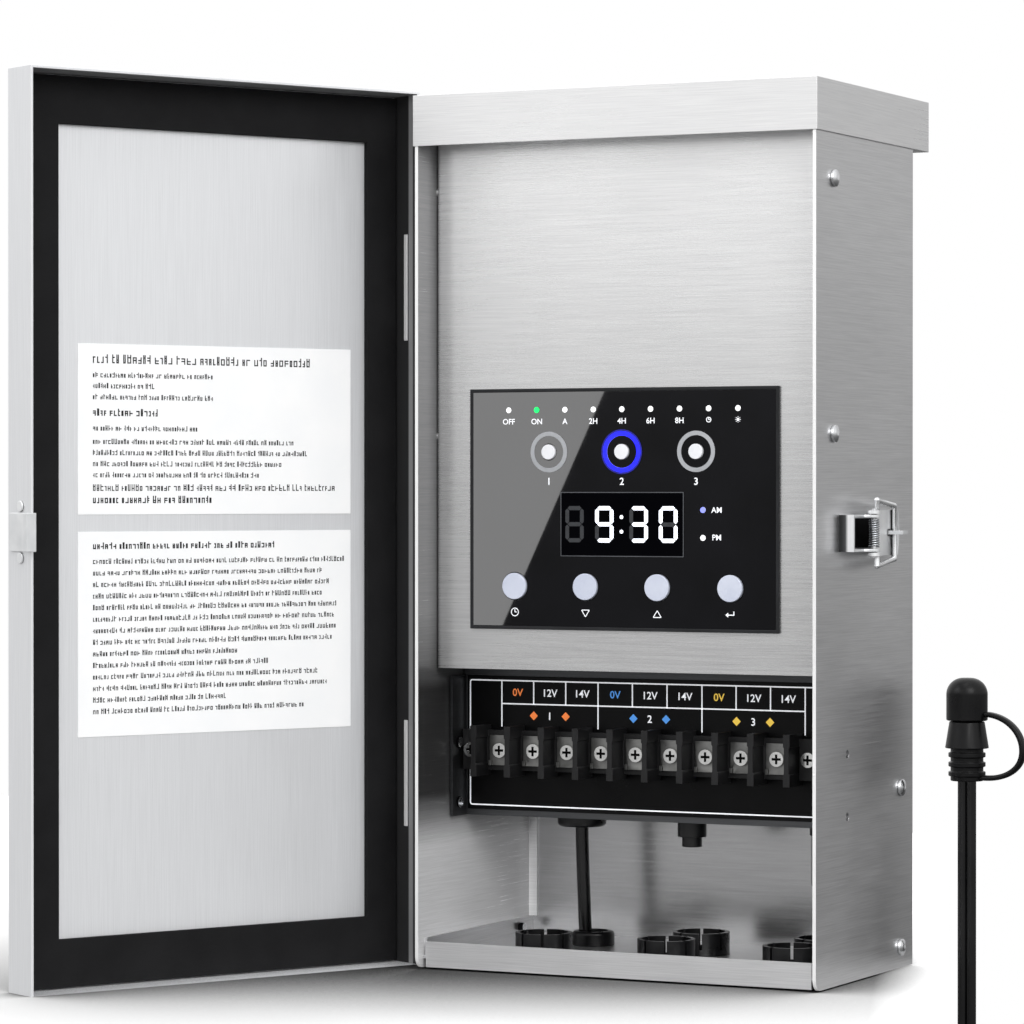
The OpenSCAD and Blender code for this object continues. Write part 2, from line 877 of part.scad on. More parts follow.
module transformer_mount() {
    color("gray") placed() {
        rod_y([torus_x, back_in - torus_wash_t, torus_z], torus_wash_d, torus_wash_t);
        rod_y([torus_x, back_in - 2 * torus_wash_t - torus_tube, torus_z], torus_bolt_d,
            torus_tube + 2 * torus_wash_t);
        rod_y([torus_x, back_in - 2 * torus_wash_t - torus_tube, torus_z], torus_wash_d, torus_wash_t);
    }
}

module mains_gland() {
    color("black") placed() difference() {
        translate([gland_x, gland_y, shelf_z - gland_h])
            rotate_extrude()
                union() {
                    translate([0, gland_round])
                        square([gland_d / 2, gland_h - gland_round]);
                    square([gland_d / 2 - gland_round, gland_h]);
                    translate([gland_d / 2 - gland_round, gland_round])
                        circle(r = gland_round, $fn = hull_fn);
                }
        translate([gland_x, gland_y, shelf_z - gland_h - cut])
            cylinder(d = cord_d + 2 * gland_bore_play, h = gland_seat + cut);
    }
}

module mains_cord_drop() {
    color("black") placed()
        tube(cord_route, cord_d / 2, cord_d / 2, cord_sides, [1, 0, 0]);
}

module mains_coil() {
    color("black") placed()
        tube(cord_coil, cord_d / 2, cord_d / 2, loop_sides, [0, 1, 0]);
}

module mains_cord_tail() {
    color("black") placed()
        tube(tail_route, cord_d / 2, cord_d / 2, cord_sides, [1, 0, 0]);
}

// A flat band round the turns at the top of a coil
module coil_tie(x, z, y_low, y_high, thick) {
    block_low = [x - tie_w / 2, y_low - tie_play - tie_t, z - thick / 2 - tie_play - tie_t];
    block_high = [x + tie_w / 2, y_high + tie_play + tie_t, z + thick / 2 + tie_play + tie_t];
    difference() {
        block(block_low, block_high);
        block(block_low + [-cut, tie_t, tie_t], block_high + [cut, -tie_t, -tie_t]);
    }
}

module mains_tie() {
    color("dimgray") placed()
        coil_tie(coil_x, coil_z + coil_r, tail_y - cord_d / 2 + coil_pitch / 4,
            grommet_y - coil_pitch / 4 * 3 + cord_d / 2, cord_d);
}

module mains_plug() {
    color("black") placed() {
        translate([cord_x, tail_y, plug_z])
            cylinder(d1 = plug_base_d, d2 = plug_neck_d, h = plug_neck_h);
        hull()
            for (sx = [-1, 1])
                for (sy = [-1, 1])
                    translate([cord_x + sx * (plug_w / 2 - gland_round),
                        tail_y + sy * (plug_t / 2 - gland_round), plug_z - plug_h])
                        cylinder(r = gland_round, h = plug_h, $fn = hull_fn);
    }
}

module plug_blades() {
    color("silver") placed() {
        for (side = [-1, 1])
            block([cord_x + side * blade_gap / 2 - blade_t / 2, tail_y - blade_w / 2,
                    plug_z - plug_h - blade_l],
                [cord_x + side * blade_gap / 2 + blade_t / 2, tail_y + blade_w / 2, plug_z - plug_h]);
        translate([cord_x, tail_y + ground_off / 2 + ground_d / 4, plug_z - plug_h - ground_l])
            cylinder(d = ground_d, h = ground_l);
    }
}

module cable_grommet() {
    color("black") placed() difference() {
        translate([grommet_x, grommet_y, 0])
            rotate_extrude()
                union() {
                    translate([0, pan_z])
                        square([grommet_d / 2 - grommet_round, grommet_h]);
                    translate([0, pan_z])
                        square([grommet_d / 2, grommet_h - grommet_round]);
                    translate([grommet_d / 2 - grommet_round, pan_z + grommet_h - grommet_round])
                        circle(r = grommet_round, $fn = hull_fn);
                    translate([0, pan_z - pan_sheet])
                        square([grommet_neck / 2, pan_sheet]);
                    translate([0, pan_z - pan_sheet - grommet_under])
                        square([grommet_d / 2, grommet_under]);
                }
        translate([grommet_x, grommet_y, -cut])
            cylinder(d = grommet_bore, h = pan_z + grommet_h + 2 * cut);
    }
}

// A snap bushing: a rim under the pan and a slit ring that stands up through it
module snap_bushing(x, y) {
    under = pan_z - pan_sheet;
    difference() {
        translate([x, y, under - bushing_rim])
            union() {
                cylinder(d = bushing_rim_d, h = bushing_rim);
                cylinder(d = bushing_d, h = bushing_rim + pan_sheet + bushing_h);
            }
        translate([x, y, 0])
            cylinder(d = bushing_bore, h = pan_z + bushing_h + cut);
        for (k = [0:bushing_slits - 1])
            translate([x, y, pan_z + bushing_h - slit_h])
                rotate([0, 0, 360 * (k + 1 / 2) / bushing_slits])
                    block([bushing_bore / 2 - cut, -slit_w / 2, 0],
                        [bushing_d / 2 + cut, slit_w / 2, slit_h + cut]);
    }
}

module snap_bushings_front() {
    color("black") placed()
        for (x = front_row_xs)
            snap_bushing(x, front_row_y);
}

module snap_bushings_rear() {
    color("black") placed()
        for (x = rear_row_xs)
            snap_bushing(x, rear_row_y);
}

module reset_breaker() {
    color("black") placed() difference() {
        translate([breaker_x, breaker_y, shelf_z - breaker_h - breaker_flange_t])
            union() {
                cylinder(d = breaker_d, h = breaker_h + breaker_flange_t);
                translate([0, 0, breaker_h])
                    cylinder(d = breaker_flange_d, h = breaker_flange_t);
            }
        translate([breaker_x, breaker_y, shelf_z - breaker_h - breaker_flange_t - cut])
            cylinder(d = reset_d + 2 * reset_play, h = reset_in + reset_travel + 2 * cut);
    }
}

module reset_button() {
    color("dimgray") placed()
        translate([breaker_x, breaker_y, shelf_z - breaker_h - breaker_flange_t - reset_out])
            cylinder(d = reset_d, h = reset_out + reset_in);
}

module sensor_jack() {
    color("black") placed()
        translate([jack_x, jack_y, shelf_z - jack_h])
            union() {
                cylinder(d = jack_d, h = jack_h);
                translate([0, 0, jack_h - jack_flange_t])
                    cylinder(d = jack_flange_d, h = jack_flange_t);
            }
}

module sensor_plug() {
    color("black") placed()
        translate([jack_x, jack_y, shelf_z - jack_h - jack_plug_h])
            rotate_extrude()
                union() {
                    translate([0, jack_plug_round])
                        square([jack_plug_d / 2, jack_plug_h - jack_plug_round]);
                    square([jack_plug_d / 2 - jack_plug_round, jack_plug_h]);
                    translate([jack_plug_d / 2 - jack_plug_round, jack_plug_round])
                        circle(r = jack_plug_round, $fn = hull_fn);
                }
}

module sensor_lead_drop() {
    color("black") placed()
        tube(lead_drop_route, lead_t / 2, lead_w / 2, cord_sides, [1, 0, 0]);
}

module sensor_coil() {
    color("black") placed()
        tube(lead_coil, lead_w / 2, lead_t / 2, loop_sides, [0, 1, 0]);
}

module sensor_lead_rise() {
    color("black") placed()
        tube(lead_rise_route, lead_w / 2, lead_t / 2, cord_sides, [1, 0, 0]);
}

module sensor_tie() {
    color("dimgray") placed()
        coil_tie(lead_x, lead_z + lead_r, lead_in_y + lead_pitch / 4 * 3 - lead_w / 2,
            lead_in_y + lead_pitch * (lead_turns - 1 / 4) + lead_w / 2, lead_t);
}

module sensor_body() {
    color("black") placed()
        translate([sensor_x, sensor_y, 0])
            rotate_extrude()
                union() {
                    translate([0, boot_low])
                        square([boot_d / 2, collar_low - boot_low]);
                    for (k = [0:2])
                        translate([0, boot_low + rib_h + k * rib_step])
                            square([rib_d / 2, rib_h]);
                    polygon([[0, collar_low], [collar_low_d / 2, collar_low],
                        [collar_top_d / 2, cap_low - cap_air], [0, cap_low - cap_air]]);
                    translate([0, cap_low - cap_air])
                        square([lens_body_d / 2, lens_body_top - cap_low]);
                }
}

module sensor_cap() {
    color("black") placed()
        translate([sensor_x, sensor_y, 0])
            difference() {
                rotate_extrude()
                    union() {
                        translate([0, cap_low])
                            square([cap_d / 2, cap_top - cap_round - cap_low]);
                        translate([0, cap_top - cap_round])
                            square([cap_d / 2 - cap_round, cap_round]);
                        intersection() {
                            translate([cap_d / 2 - cap_round, cap_top - cap_round])
                                circle(r = cap_round, $fn = hull_fn);
                            translate([0, cap_low])
                                square([cap_d / 2, cap_top - cap_low]);
                        }
                    }
                translate([0, 0, cap_low - cut])
                    cylinder(d = lens_body_d + 2 * cap_air, h = lens_body_top - cap_low + cut);
            }
}

// The strap's middle line: out from the cap's side, round and back to the boot
strap_z = (cap_low + boot_low) / 2 + strap_over;
strap_points = [for (a = [strap_from:strap_step:strap_to])
    [sensor_x + cap_d / 2 + strap_out + strap_r * cos(a), sensor_y, strap_z + strap_r * sin(a)]];

module sensor_strap() {
    color("black") placed()
        tube(strap_points, strap_w / 2, strap_t / 2, loop_sides, [0, 1, 0]);
}

module hinge_barrel(z0, z1) {
    translate([hinge_x, hinge_y, z0])
        cylinder(r = hinge_r, h = z1 - z0);
}

module hinge_bore(z0, z1) {
    translate([hinge_x, hinge_y, z0 - cut])
        cylinder(r = hinge_pin_r + hinge_pin_play, h = z1 - z0 + 2 * cut);
}

// Each hinge has three knuckles: the case carries the outer two and the door the middle one
function knuckle(z, k) = z - hinge_len / 2 + k * hinge_len / 3;

module hinge_case_leaves() {
    color("lightgray") placed()
        for (z = hinge_zs)
            difference() {
                union() {
                    for (k = [0, 2])
                        hinge_barrel(knuckle(z, k) + (k > 0 ? hinge_end_gap : 0),
                            knuckle(z, k + 1) - (k > 0 ? 0 : hinge_end_gap));
                    difference() {
                        block([-half_w - hinge_leaf_t, hinge_y - hinge_case_leaf + hinge_r, knuckle(z, 0)],
                            [-half_w, hinge_y + hinge_r / 2, knuckle(z, 3)]);
                        block([-half_w - hinge_leaf_t - cut, hinge_y - hinge_r - hinge_end_gap,
                                knuckle(z, 1) - hinge_end_gap],
                            [cut - half_w, hinge_y + hinge_r, knuckle(z, 2) + hinge_end_gap]);
                    }
                    for (side = [-1, 1])
                        rod_x([-half_w - hinge_leaf_t - hinge_rivet_t, hinge_rivet_y,
                            z + side * hinge_rivet_step / 2], hinge_rivet_d, hinge_rivet_t);
                }
                hinge_bore(knuckle(z, 0), knuckle(z, 3));
            }
}

// Turns what the closed door would hold to where the door stands open
module on_door() {
    translate([hinge_x, hinge_y, 0])
        rotate([0, 0, -door_open])
            translate([-hinge_x, -hinge_y, 0])
                children();
}

module hinge_door_leaves() {
    color("lightgray") placed() on_door()
        for (z = hinge_zs)
            difference() {
                union() {
                    hinge_barrel(knuckle(z, 1), knuckle(z, 2));
                    block([-door_half - hinge_leaf_t, door_rim - hinge_door_leaf, knuckle(z, 0)],
                        [-door_half, door_rim, knuckle(z, 3)]);
                    block([-door_half - hinge_leaf_t, door_rim, knuckle(z, 1)],
                        [-door_half, hinge_y - hinge_r / 2, knuckle(z, 2)]);
                }
                hinge_bore(knuckle(z, 1), knuckle(z, 2));
            }
}

module hinge_pins() {
    color("white") placed()
        for (z = hinge_zs)
            translate([hinge_x, hinge_y, knuckle(z, 0)])
                cylinder(r = hinge_pin_r, h = hinge_len);
}

module door_shell() {
    color("silver") placed() on_door()
        difference() {
            block([-door_half, door_face, door_low], [door_half, door_rim, door_high]);
            block([-door_in, door_back, door_low + door_sheet],
                [door_in, door_rim + cut, door_high - door_sheet]);
        }
}

module door_gasket() {
    color("black") placed() on_door()
        difference() {
            block([gasket_gap - door_in, door_back, door_low + door_sheet + gasket_gap],
                [door_in - gasket_gap, door_back + gasket_t, door_high - door_sheet - gasket_gap]);
            block([gasket_hinge_w - door_in, door_back - cut, door_low + door_sheet + gasket_w],
                [door_in - gasket_w, door_back + gasket_t + cut, door_high - door_sheet - gasket_w]);
        }
}

module door_labels() {
    color("white") placed() on_door()
        for (z = door_label_zs)
            block([label_left - door_in, door_back, z[0]],
                [door_in - label_right, door_back + label_sheet, z[1]]);
}

module strike_plate() {
    color("lightgray") placed() on_door() {
        block([door_half, door_rim - strike_len, strike_z - strike_h / 2],
            [door_half + strike_t, door_rim + strike_past, strike_z + strike_h / 2]);
        block([door_half, door_rim + strike_past - strike_t, strike_z - strike_h / 2],
            [door_half + strike_hook, door_rim + strike_past, strike_z + strike_h / 2]);
        block([door_half + strike_hook - strike_t, door_rim + strike_past - strike_lip,
                strike_z - strike_h / 2],
            [door_half + strike_hook, door_rim + strike_past, strike_z + strike_h / 2]);
        for (side = [-1, 1])
            rod_x([door_half, door_rim - strike_len / 2, strike_z + side * strike_rivet_step / 2],
                strike_rivet_d, strike_rivet_t);
    }
}

// The staple for a padlock, which stands through the lever's slot
staple_y0 = latch_y + staple_from;
staple_y1 = staple_y0 + staple_len;

module latch_base() {
    top = half_w + latch_high;
    color("lightgray") placed() {
        difference() {
            block([half_w, latch_front, latch_z - latch_tall / 2],
                [top, latch_back, latch_z + latch_tall / 2]);
            block([half_w + latch_wall, latch_front + latch_wall, latch_z - latch_tall / 2 + latch_wall],
                [top + cut, latch_back + cut, latch_z + latch_tall / 2 - latch_wall]);
        }
        for (z0 = [latch_z - latch_tall / 2, latch_z + latch_tall / 2 - latch_wall])
            hull() {
                block([half_w, latch_back - latch_wall, z0], [top, latch_back, z0 + latch_wall]);
                translate([latch_x, latch_y, z0])
                    cylinder(r = latch_barrel_r, h = latch_wall, $fn = hull_fn);
            }
        translate([latch_x, latch_y, latch_z - lever_w / 2 - lever_t / 2])
            cylinder(r = latch_pin_r, h = lever_w + lever_t);
        difference() {
            block([half_w, staple_y0, latch_z - staple_t / 2],
                [half_w + staple_out, staple_y1, latch_z + staple_t / 2]);
            translate([half_w + staple_out - staple_len / 2, (staple_y0 + staple_y1) / 2,
                latch_z - staple_t])
                cylinder(d = staple_hole_d, h = 2 * staple_t);
        }
    }
}

// Where the bail hangs on the lever, which leans to the wall
bail_x = latch_x + bail_pivot_out * cos(lever_lean) - bail_pivot_r * sin(lever_lean);
bail_y = latch_y + bail_pivot_out * sin(lever_lean) + bail_pivot_r * cos(lever_lean);
bail_taper = atan((bail_half - bail_far_half) / bail_len);

// The lever: a plate with a round, turned-out end and two ears outside the base's cheeks.
// It's drawn about its pivot, along Y, and then leant
module latch_lever() {
    plate_x = lever_off - latch_barrel_r;
    round_y = lever_len - lever_round;
    color("lightgray") placed()
        translate([latch_x, latch_y, latch_z])
            rotate([0, 0, lever_lean])
                difference() {
                    union() {
                        intersection() {
                            block([plate_x, lever_from, -lever_w / 2],
                                [plate_x + lever_t, lever_len, lever_w / 2]);
                            rod_x([plate_x - cut, round_y, 0], 2 * lever_round, lever_t + 2 * cut);
                        }
                        intersection() {
                            block([plate_x, round_y, -lever_w / 2],
                                [plate_x + lever_curl, lever_len, lever_w / 2]);
                            difference() {
                                rod_x([plate_x, round_y, 0], 2 * lever_round, lever_curl);
                                rod_x([plate_x - cut, round_y, 0], 2 * (lever_round - lever_t),
                                    lever_curl + 2 * cut);
                            }
                        }
                        for (z0 = [-lever_w / 2, lever_w / 2 - eye_t])
                            translate([0, 0, z0])
                                linear_extrude(eye_t)
                                    hull() {
                                        circle(r = latch_barrel_r, $fn = hull_fn);
                                        translate([bail_pivot_out, bail_pivot_r])
                                            circle(r = eye_r, $fn = hull_fn);
                                        translate([plate_x, bail_pivot_r])
                                            square([lever_t, 2 * eye_r]);
                                    }
                    }
                    translate([0, 0, -lever_w / 2 - cut])
                        cylinder(r = latch_pin_r + latch_pin_play, h = lever_w + 2 * cut);
                    translate([bail_pivot_out, bail_pivot_r, -lever_w / 2 - cut])
                        cylinder(r = bail_r + latch_pin_play, h = lever_w + 2 * cut);
                    block([plate_x - cut, staple_from - staple_play, -staple_t / 2 - staple_play],
                        [plate_x + lever_t + cut, staple_from + staple_len + 2 * staple_play,
                            staple_t / 2 + staple_play]);
                }
}

// The bail: a tapered wire loop whose two inturned ends hang in the lever's ears
module latch_bail() {
    stub = bail_half - lever_w / 2 + eye_t;
    color("white") placed()
        translate([bail_x, bail_y, latch_z])
            rotate([0, 0, bail_lean]) {
                translate([0, bail_len, -bail_far_half])
                    cylinder(r = bail_r, h = 2 * bail_far_half);
                translate([0, 0, -bail_half])
                    cylinder(r = bail_r, h = stub);
                translate([0, 0, bail_half - stub])
                    cylinder(r = bail_r, h = stub);
                for (side = [-1, 1]) {
                    translate([0, 0, side * bail_half])
                        rotate([-side * bail_taper, 0, 0])
                            rod_y([0, 0, 0], 2 * bail_r, bail_len / cos(bail_taper));
                    translate([0, 0, side * bail_half])
                        sphere(r = bail_corner_r);
                    translate([0, bail_len, side * bail_far_half])
                        sphere(r = bail_corner_r);
                }
            }
}

spring_steps = spring_turns * spring_rings;
spring_line = [for (i = [0:spring_steps]) let (a = 360 * i / spring_rings)
    [latch_x + spring_r * cos(a), latch_y + spring_r * sin(a),
        latch_z + spring_h * (i / spring_steps - 1 / 2)]];

module latch_spring() {
    color("silver") placed()
        tube(spring_line, spring_wire / 2, spring_wire / 2, loop_sides, [0, 0, 1]);
}

module case_hanger() {
    x = hanger_w / 2;
    low = bracket_z - hanger_low;
    rest = bracket_z + bracket_high + bracket_t + hook_lip;
    color("silver") placed() {
        block([-x, case_d, low], [x, case_d + bracket_t, rest + bracket_t]);
        block([-x, case_d, rest], [x, case_d + hanger_reach, rest + bracket_t]);
        block([-x, case_d + hanger_reach - bracket_t, rest - hanger_lip], [x, case_d + hanger_reach, rest]);
    }
}

module wall_bracket() {
    x = bracket_w / 2;
    color("silver") placed() difference() {
        union() {
            block([-x, wall_y - bracket_t, bracket_z - bracket_low], [x, wall_y, bracket_z + bracket_high]);
            block([-x, wall_y - bracket_reach - bracket_t, bracket_z + bracket_high],
                [x, wall_y, bracket_z + bracket_high + bracket_t]);
            block([-x, wall_y - bracket_reach - bracket_t, bracket_z + bracket_high],
                [x, wall_y - bracket_reach, bracket_z + bracket_high + bracket_t + hook_lip]);
        }
        for (side = [-1, 1])
            rod_y([side * bracket_spacing / 2, wall_y - bracket_t - cut, bracket_z], bracket_hole_d,
                bracket_t + 2 * cut);
    }
}

module wall_bumpers() {
    color("black") placed()
        for (side = [-1, 1])
            rod_y([side * bumper_x, case_d, bumper_z], bumper_d, wall_gap);
}

case_shell();
rain_cap();
bottom_pan();
front_panel();
terminal_bracket();
terminal_label();
terminal_block();
terminal_clamps();
terminal_screws();
case_screws();
control_bezel();
control_panel();
zone_rings();
zone_key_1();
zone_key_2();
zone_key_3();
key_clock();
key_down();
key_up();
key_enter();
indicator_lenses();
display_window();
circuit_board();
transformer_coil();
transformer_mount();
mains_gland();
mains_cord_drop();
mains_coil();
mains_cord_tail();
mains_tie();
mains_plug();
plug_blades();
cable_grommet();
snap_bushings_front();
snap_bushings_rear();
reset_breaker();
reset_button();
sensor_jack();
sensor_plug();
sensor_lead_drop();
sensor_coil();
sensor_lead_rise();
sensor_tie();
sensor_body();
sensor_cap();
sensor_strap();
hinge_case_leaves();
hinge_door_leaves();
hinge_pins();
door_shell();
door_gasket();
door_labels();
strike_plate();
latch_base();
latch_lever();
latch_bail();
latch_spring();
case_hanger();
wall_bracket();
wall_bumpers();
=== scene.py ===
"""A low voltage landscape transformer: its steel box, timer panel, terminals, open door, latch and cords."""
import json
import math
import random

import bmesh
import bpy
from mathutils import Matrix, Vector

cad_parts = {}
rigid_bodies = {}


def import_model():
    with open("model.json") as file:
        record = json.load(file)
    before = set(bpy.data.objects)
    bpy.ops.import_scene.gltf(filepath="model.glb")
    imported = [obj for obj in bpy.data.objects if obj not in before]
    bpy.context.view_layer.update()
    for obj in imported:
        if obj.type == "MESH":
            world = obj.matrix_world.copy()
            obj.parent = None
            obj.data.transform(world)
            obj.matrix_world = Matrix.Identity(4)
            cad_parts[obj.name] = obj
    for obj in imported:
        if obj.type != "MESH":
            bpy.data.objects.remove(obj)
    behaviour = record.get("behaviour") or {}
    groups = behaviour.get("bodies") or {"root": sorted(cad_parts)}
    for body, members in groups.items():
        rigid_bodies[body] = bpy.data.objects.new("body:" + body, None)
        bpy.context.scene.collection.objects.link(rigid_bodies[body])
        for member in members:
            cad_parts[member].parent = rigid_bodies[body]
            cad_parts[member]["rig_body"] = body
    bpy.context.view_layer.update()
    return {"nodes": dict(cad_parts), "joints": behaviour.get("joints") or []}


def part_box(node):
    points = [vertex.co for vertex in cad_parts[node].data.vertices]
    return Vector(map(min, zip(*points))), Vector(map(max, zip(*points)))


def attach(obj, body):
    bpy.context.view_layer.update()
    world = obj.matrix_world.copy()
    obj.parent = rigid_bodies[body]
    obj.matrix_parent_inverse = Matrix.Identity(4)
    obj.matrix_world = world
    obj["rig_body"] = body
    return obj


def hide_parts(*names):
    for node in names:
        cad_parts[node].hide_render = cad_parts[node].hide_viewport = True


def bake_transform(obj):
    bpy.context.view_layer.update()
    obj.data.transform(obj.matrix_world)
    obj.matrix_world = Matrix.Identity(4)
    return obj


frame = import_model()

# The camera
# It stands level with the middle of the box, to the right of its front, and has the long lens that the photograph's
# nearly parallel edges ask for.
EYE = (0.7016, -1.6167, -0.0996)
LENS, SENSOR_W = 141.9, 36
TILT_DOWN, TURN = 0.321, 26.588
camera = bpy.data.objects.new("camera", bpy.data.cameras.new("camera"))
bpy.context.scene.collection.objects.link(camera)
camera.data.sensor_width = SENSOR_W
camera.data.lens = LENS
camera.location = EYE
camera.rotation_euler = (math.radians(90 - TILT_DOWN), 0, math.radians(TURN))
bpy.context.scene.camera = camera

# The mains cord
# A round black rubber cord leaves the gland in the floor of the box and hangs down. Its spare length is coiled in
# rings and held by a cable tie, and its end hangs out of the coil to a moulded plug with two blades and an earth pin.
MM = 0.001
CASE_LOW, CASE_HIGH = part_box("case_shell")


def at(x, y, z):
    """A place in metres, from millimetres right of the middle, behind the case's front edge and above its foot."""
    return Vector((x * MM, CASE_LOW.y + y * MM, CASE_LOW.z + z * MM))


def linear(code):
    """An sRGB code such as "#8a8d90" as a linear colour."""
    parts = [int(code[i:i + 2], 16) / 255 for i in (1, 3, 5)]
    return (*[c / 12.92 if c <= 0.04045 else ((c + 0.055) / 1.055) ** 2.4 for c in parts], 1)


def wire(mat, node, sockets):
    """Gives each named socket of a node a value, or the output that feeds it."""
    for name, value in sockets.items():
        if isinstance(value, bpy.types.NodeSocket):
            mat.node_tree.links.new(value, node.inputs[name])
        else:
            node.inputs[name].default_value = value
    return node


def add(mat, kind, sockets=None, stops=(), **settings):
    """Adds one shader node with its sockets wired. stops are a colour ramp's places and colours."""
    node = mat.node_tree.nodes.new("ShaderNode" + kind)
    for name, value in settings.items():
        setattr(node, name, value)
    if stops:
        elements = node.color_ramp.elements
        while len(elements) < len(stops):
            elements.new(0.5)
        for element, (place, colour) in zip(elements, stops):
            element.position = place
            element.color = colour
    return wire(mat, node, sockets or {})


def blank(name):
    """A new finish, its surface, and the place on the piece that its patterns follow."""
    mat = bpy.data.materials.new(name)
    mat.use_nodes = True
    return mat, mat.node_tree.nodes["Principled BSDF"], add(mat, "TexCoord").outputs["Object"]


def moulded(name, dark, light, roughness, grain, bump, wear=0, shine=0.3):
    """Rubber or plastic from a mould: a cloudy tone, a grain of that many millimetres, and dusty or shiny patches."""
    mat, surface, place = blank(name)
    clouds = add(mat, "TexNoise", {"Vector": place, "Scale": 60, "Detail": 4}).outputs["Fac"]
    fine = add(mat, "TexNoise", {"Vector": place, "Scale": 1 / (grain * MM), "Detail": 3}).outputs["Fac"]
    tone = add(mat, "ValToRGB", {"Fac": clouds}, [(0.3, linear(dark)), (0.72, linear(light))])
    gloss = add(mat, "MapRange", {"Value": clouds, "From Min": 0.3, "From Max": 0.7,
                                  "To Min": roughness - 0.06, "To Max": roughness + 0.08 + wear})
    pits = add(mat, "Bump", {"Height": fine, "Strength": bump, "Distance": grain * MM / 3})
    wire(mat, surface, {"Base Color": tone.outputs["Color"], "Roughness": gloss.outputs["Result"],
                        "Normal": pits.outputs["Normal"], "Specular IOR Level": shine})
    return mat


def keep(piece, body, mat, *nodes):
    """Gives a piece its body and its finish, and hides the CAD nodes that it stands for."""
    bpy.context.scene.collection.objects.link(piece)
    piece.data.materials.clear()
    piece.data.materials.append(mat)
    if body:
        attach(piece, body)
    if nodes:
        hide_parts(*nodes)
    return piece


def formed(name, bm, turn=None):
    """An object of the faces in bm, turned into its place."""
    mesh = bpy.data.meshes.new(name)
    bm.to_mesh(mesh)
    bm.free()
    if turn:
        mesh.transform(turn)
    return bpy.data.objects.new(name, mesh)


def smooth(piece, sharp):
    """Shades a piece smooth, but for edges that turn by more than sharp degrees."""
    piece.data.shade_smooth()
    piece.data.set_sharp_from_angle(angle=math.radians(sharp))
    return piece


def eased(node, width, mat, sharp=35):
    """A copy of a CAD node in its place, with its edges broken by that many millimetres."""
    source = frame["nodes"][node]
    bm = bmesh.new()
    bm.from_mesh(source.data)
    bmesh.ops.remove_doubles(bm, verts=bm.verts, dist=0.001 * MM)
    bmesh.ops.dissolve_limit(bm, angle_limit=math.radians(0.5), verts=bm.verts, edges=bm.edges)
    piece = keep(smooth(formed(node + "_form", bm), sharp), source["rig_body"], mat, node)
    if width:
        bevel = piece.modifiers.new("edges", "BEVEL")
        bevel.width = width * MM
        bevel.segments = 2
        bevel.limit_method = "ANGLE"
        bevel.angle_limit = math.radians(sharp)
        bevel.harden_normals = True
    return piece


def coiled(cx, cz, y0, r, turns, pitch, way, per_ring=24):
    """The points of a hanging coil whose rings lie behind each other."""
    points = []
    for i in range(int(turns * per_ring) + 1):
        a = math.tau * i / per_ring
        points.append(at(cx - way * r * math.cos(a), y0 + pitch * i / per_ring, cz - r * math.sin(a)))
    return points


MAINS_R = 2.8
mains_drop = [at(*p) for p in (
    (-47.4, 72, 58.8), (-47.3, 72, 50), (-46.9, 72, 38), (-46.5, 72, 28), (-46.1, 72, 18), (-45.6, 72, 8),
    (-45, 72, -3), (-44.5, 72, -14), (-44.1, 72, -30), (-44, 72, -46), (-44, 72, -62), (-44, 72, -76))]
mains_rings = coiled(cx=-75, cz=-88, y0=72, r=31, turns=7, pitch=-6.2, way=-1)
mains_end = [at(-44, 28.6, z) for z in (-100, -114, -128, -142, -156)]
mains_route = mains_drop + mains_rings + mains_end
# Extruded rubber has a tight shine along its length and hardly any grain.
cord_rubber = moulded("Cord rubber", "#060607", "#0b0b0c", 0.15, 0.5, 0.04, shine=0.45)
mains_curve = bpy.data.curves.new("mains_cord", "CURVE")
mains_curve.dimensions = "3D"
mains_curve.bevel_depth = MAINS_R * MM
mains_curve.bevel_resolution = 4
mains_curve.use_fill_caps = True
mains_spline = mains_curve.splines.new("POLY")
mains_spline.points.add(len(mains_route) - 1)
for point, place in zip(mains_spline.points, mains_route):
    point.co = (*place, 1)
mains_spline.use_smooth = True
mains_cord = keep(bpy.data.objects.new("mains_cord", mains_curve), "case", cord_rubber,
                  "mains_cord_drop", "mains_coil", "mains_cord_tail")
# Moulded vinyl is a duller black than the cord, and the nylon of the tie a little glossier than the vinyl.
plug_vinyl = moulded("Plug vinyl", "#0c0c0e", "#151517", 0.38, 0.4, 0.12, shine=0.4)
plug = eased("mains_plug", 0.8, plug_vinyl)
tie_nylon = moulded("Cable tie nylon", "#0b0b0c", "#151517", 0.33, 0.6, 0.1)
mains_tie = eased("mains_tie", 0.25, tie_nylon)


def plated(name, dark, light, roughness, grain, hollow=0.8, metal=1):
    """Bright or plated metal: an uneven tone, faint marks of that many millimetres, and painted shade in its hollows.
    """
    mat, surface, place = blank(name)
    marks = add(mat, "TexNoise", {"Vector": place, "Scale": 1 / (grain * MM), "Detail": 3}).outputs["Fac"]
    tone = add(mat, "ValToRGB", {"Fac": marks}, [(0.3, linear(dark)), (0.7, linear(light))])
    open_air = add(mat, "AmbientOcclusion", {"Distance": hollow * MM}, samples=8)
    # Ambient occlusion within hollow millimetres paints shade into the tone.
    hollow_shade = add(mat, "ValToRGB", {"Fac": open_air.outputs["AO"]}, [(0.25, (0.02, 0.02, 0.02, 1)), (0.8, (1, 1, 1, 1))])
    shaded = add(mat, "MixRGB", {"Fac": 1.0, "Color1": tone.outputs["Color"], "Color2": hollow_shade.outputs["Color"]},
                 blend_type="MULTIPLY")
    gloss = add(mat, "MapRange", {"Value": marks, "From Min": 0.3, "From Max": 0.7,
                                  "To Min": roughness - 0.03, "To Max": roughness + 0.05})
    wire(mat, surface, {"Metallic": metal, "Base Color": shaded.outputs["Color"], "Roughness": gloss.outputs["Result"]})
    return mat


# Nickel plate on brass gives the blades a warm grey.
blade_nickel = plated("Nickel-plated blades", "#b9b6ac", "#d2cfc4", 0.24, 3)
blades = eased("plug_blades", 0.25, blade_nickel)

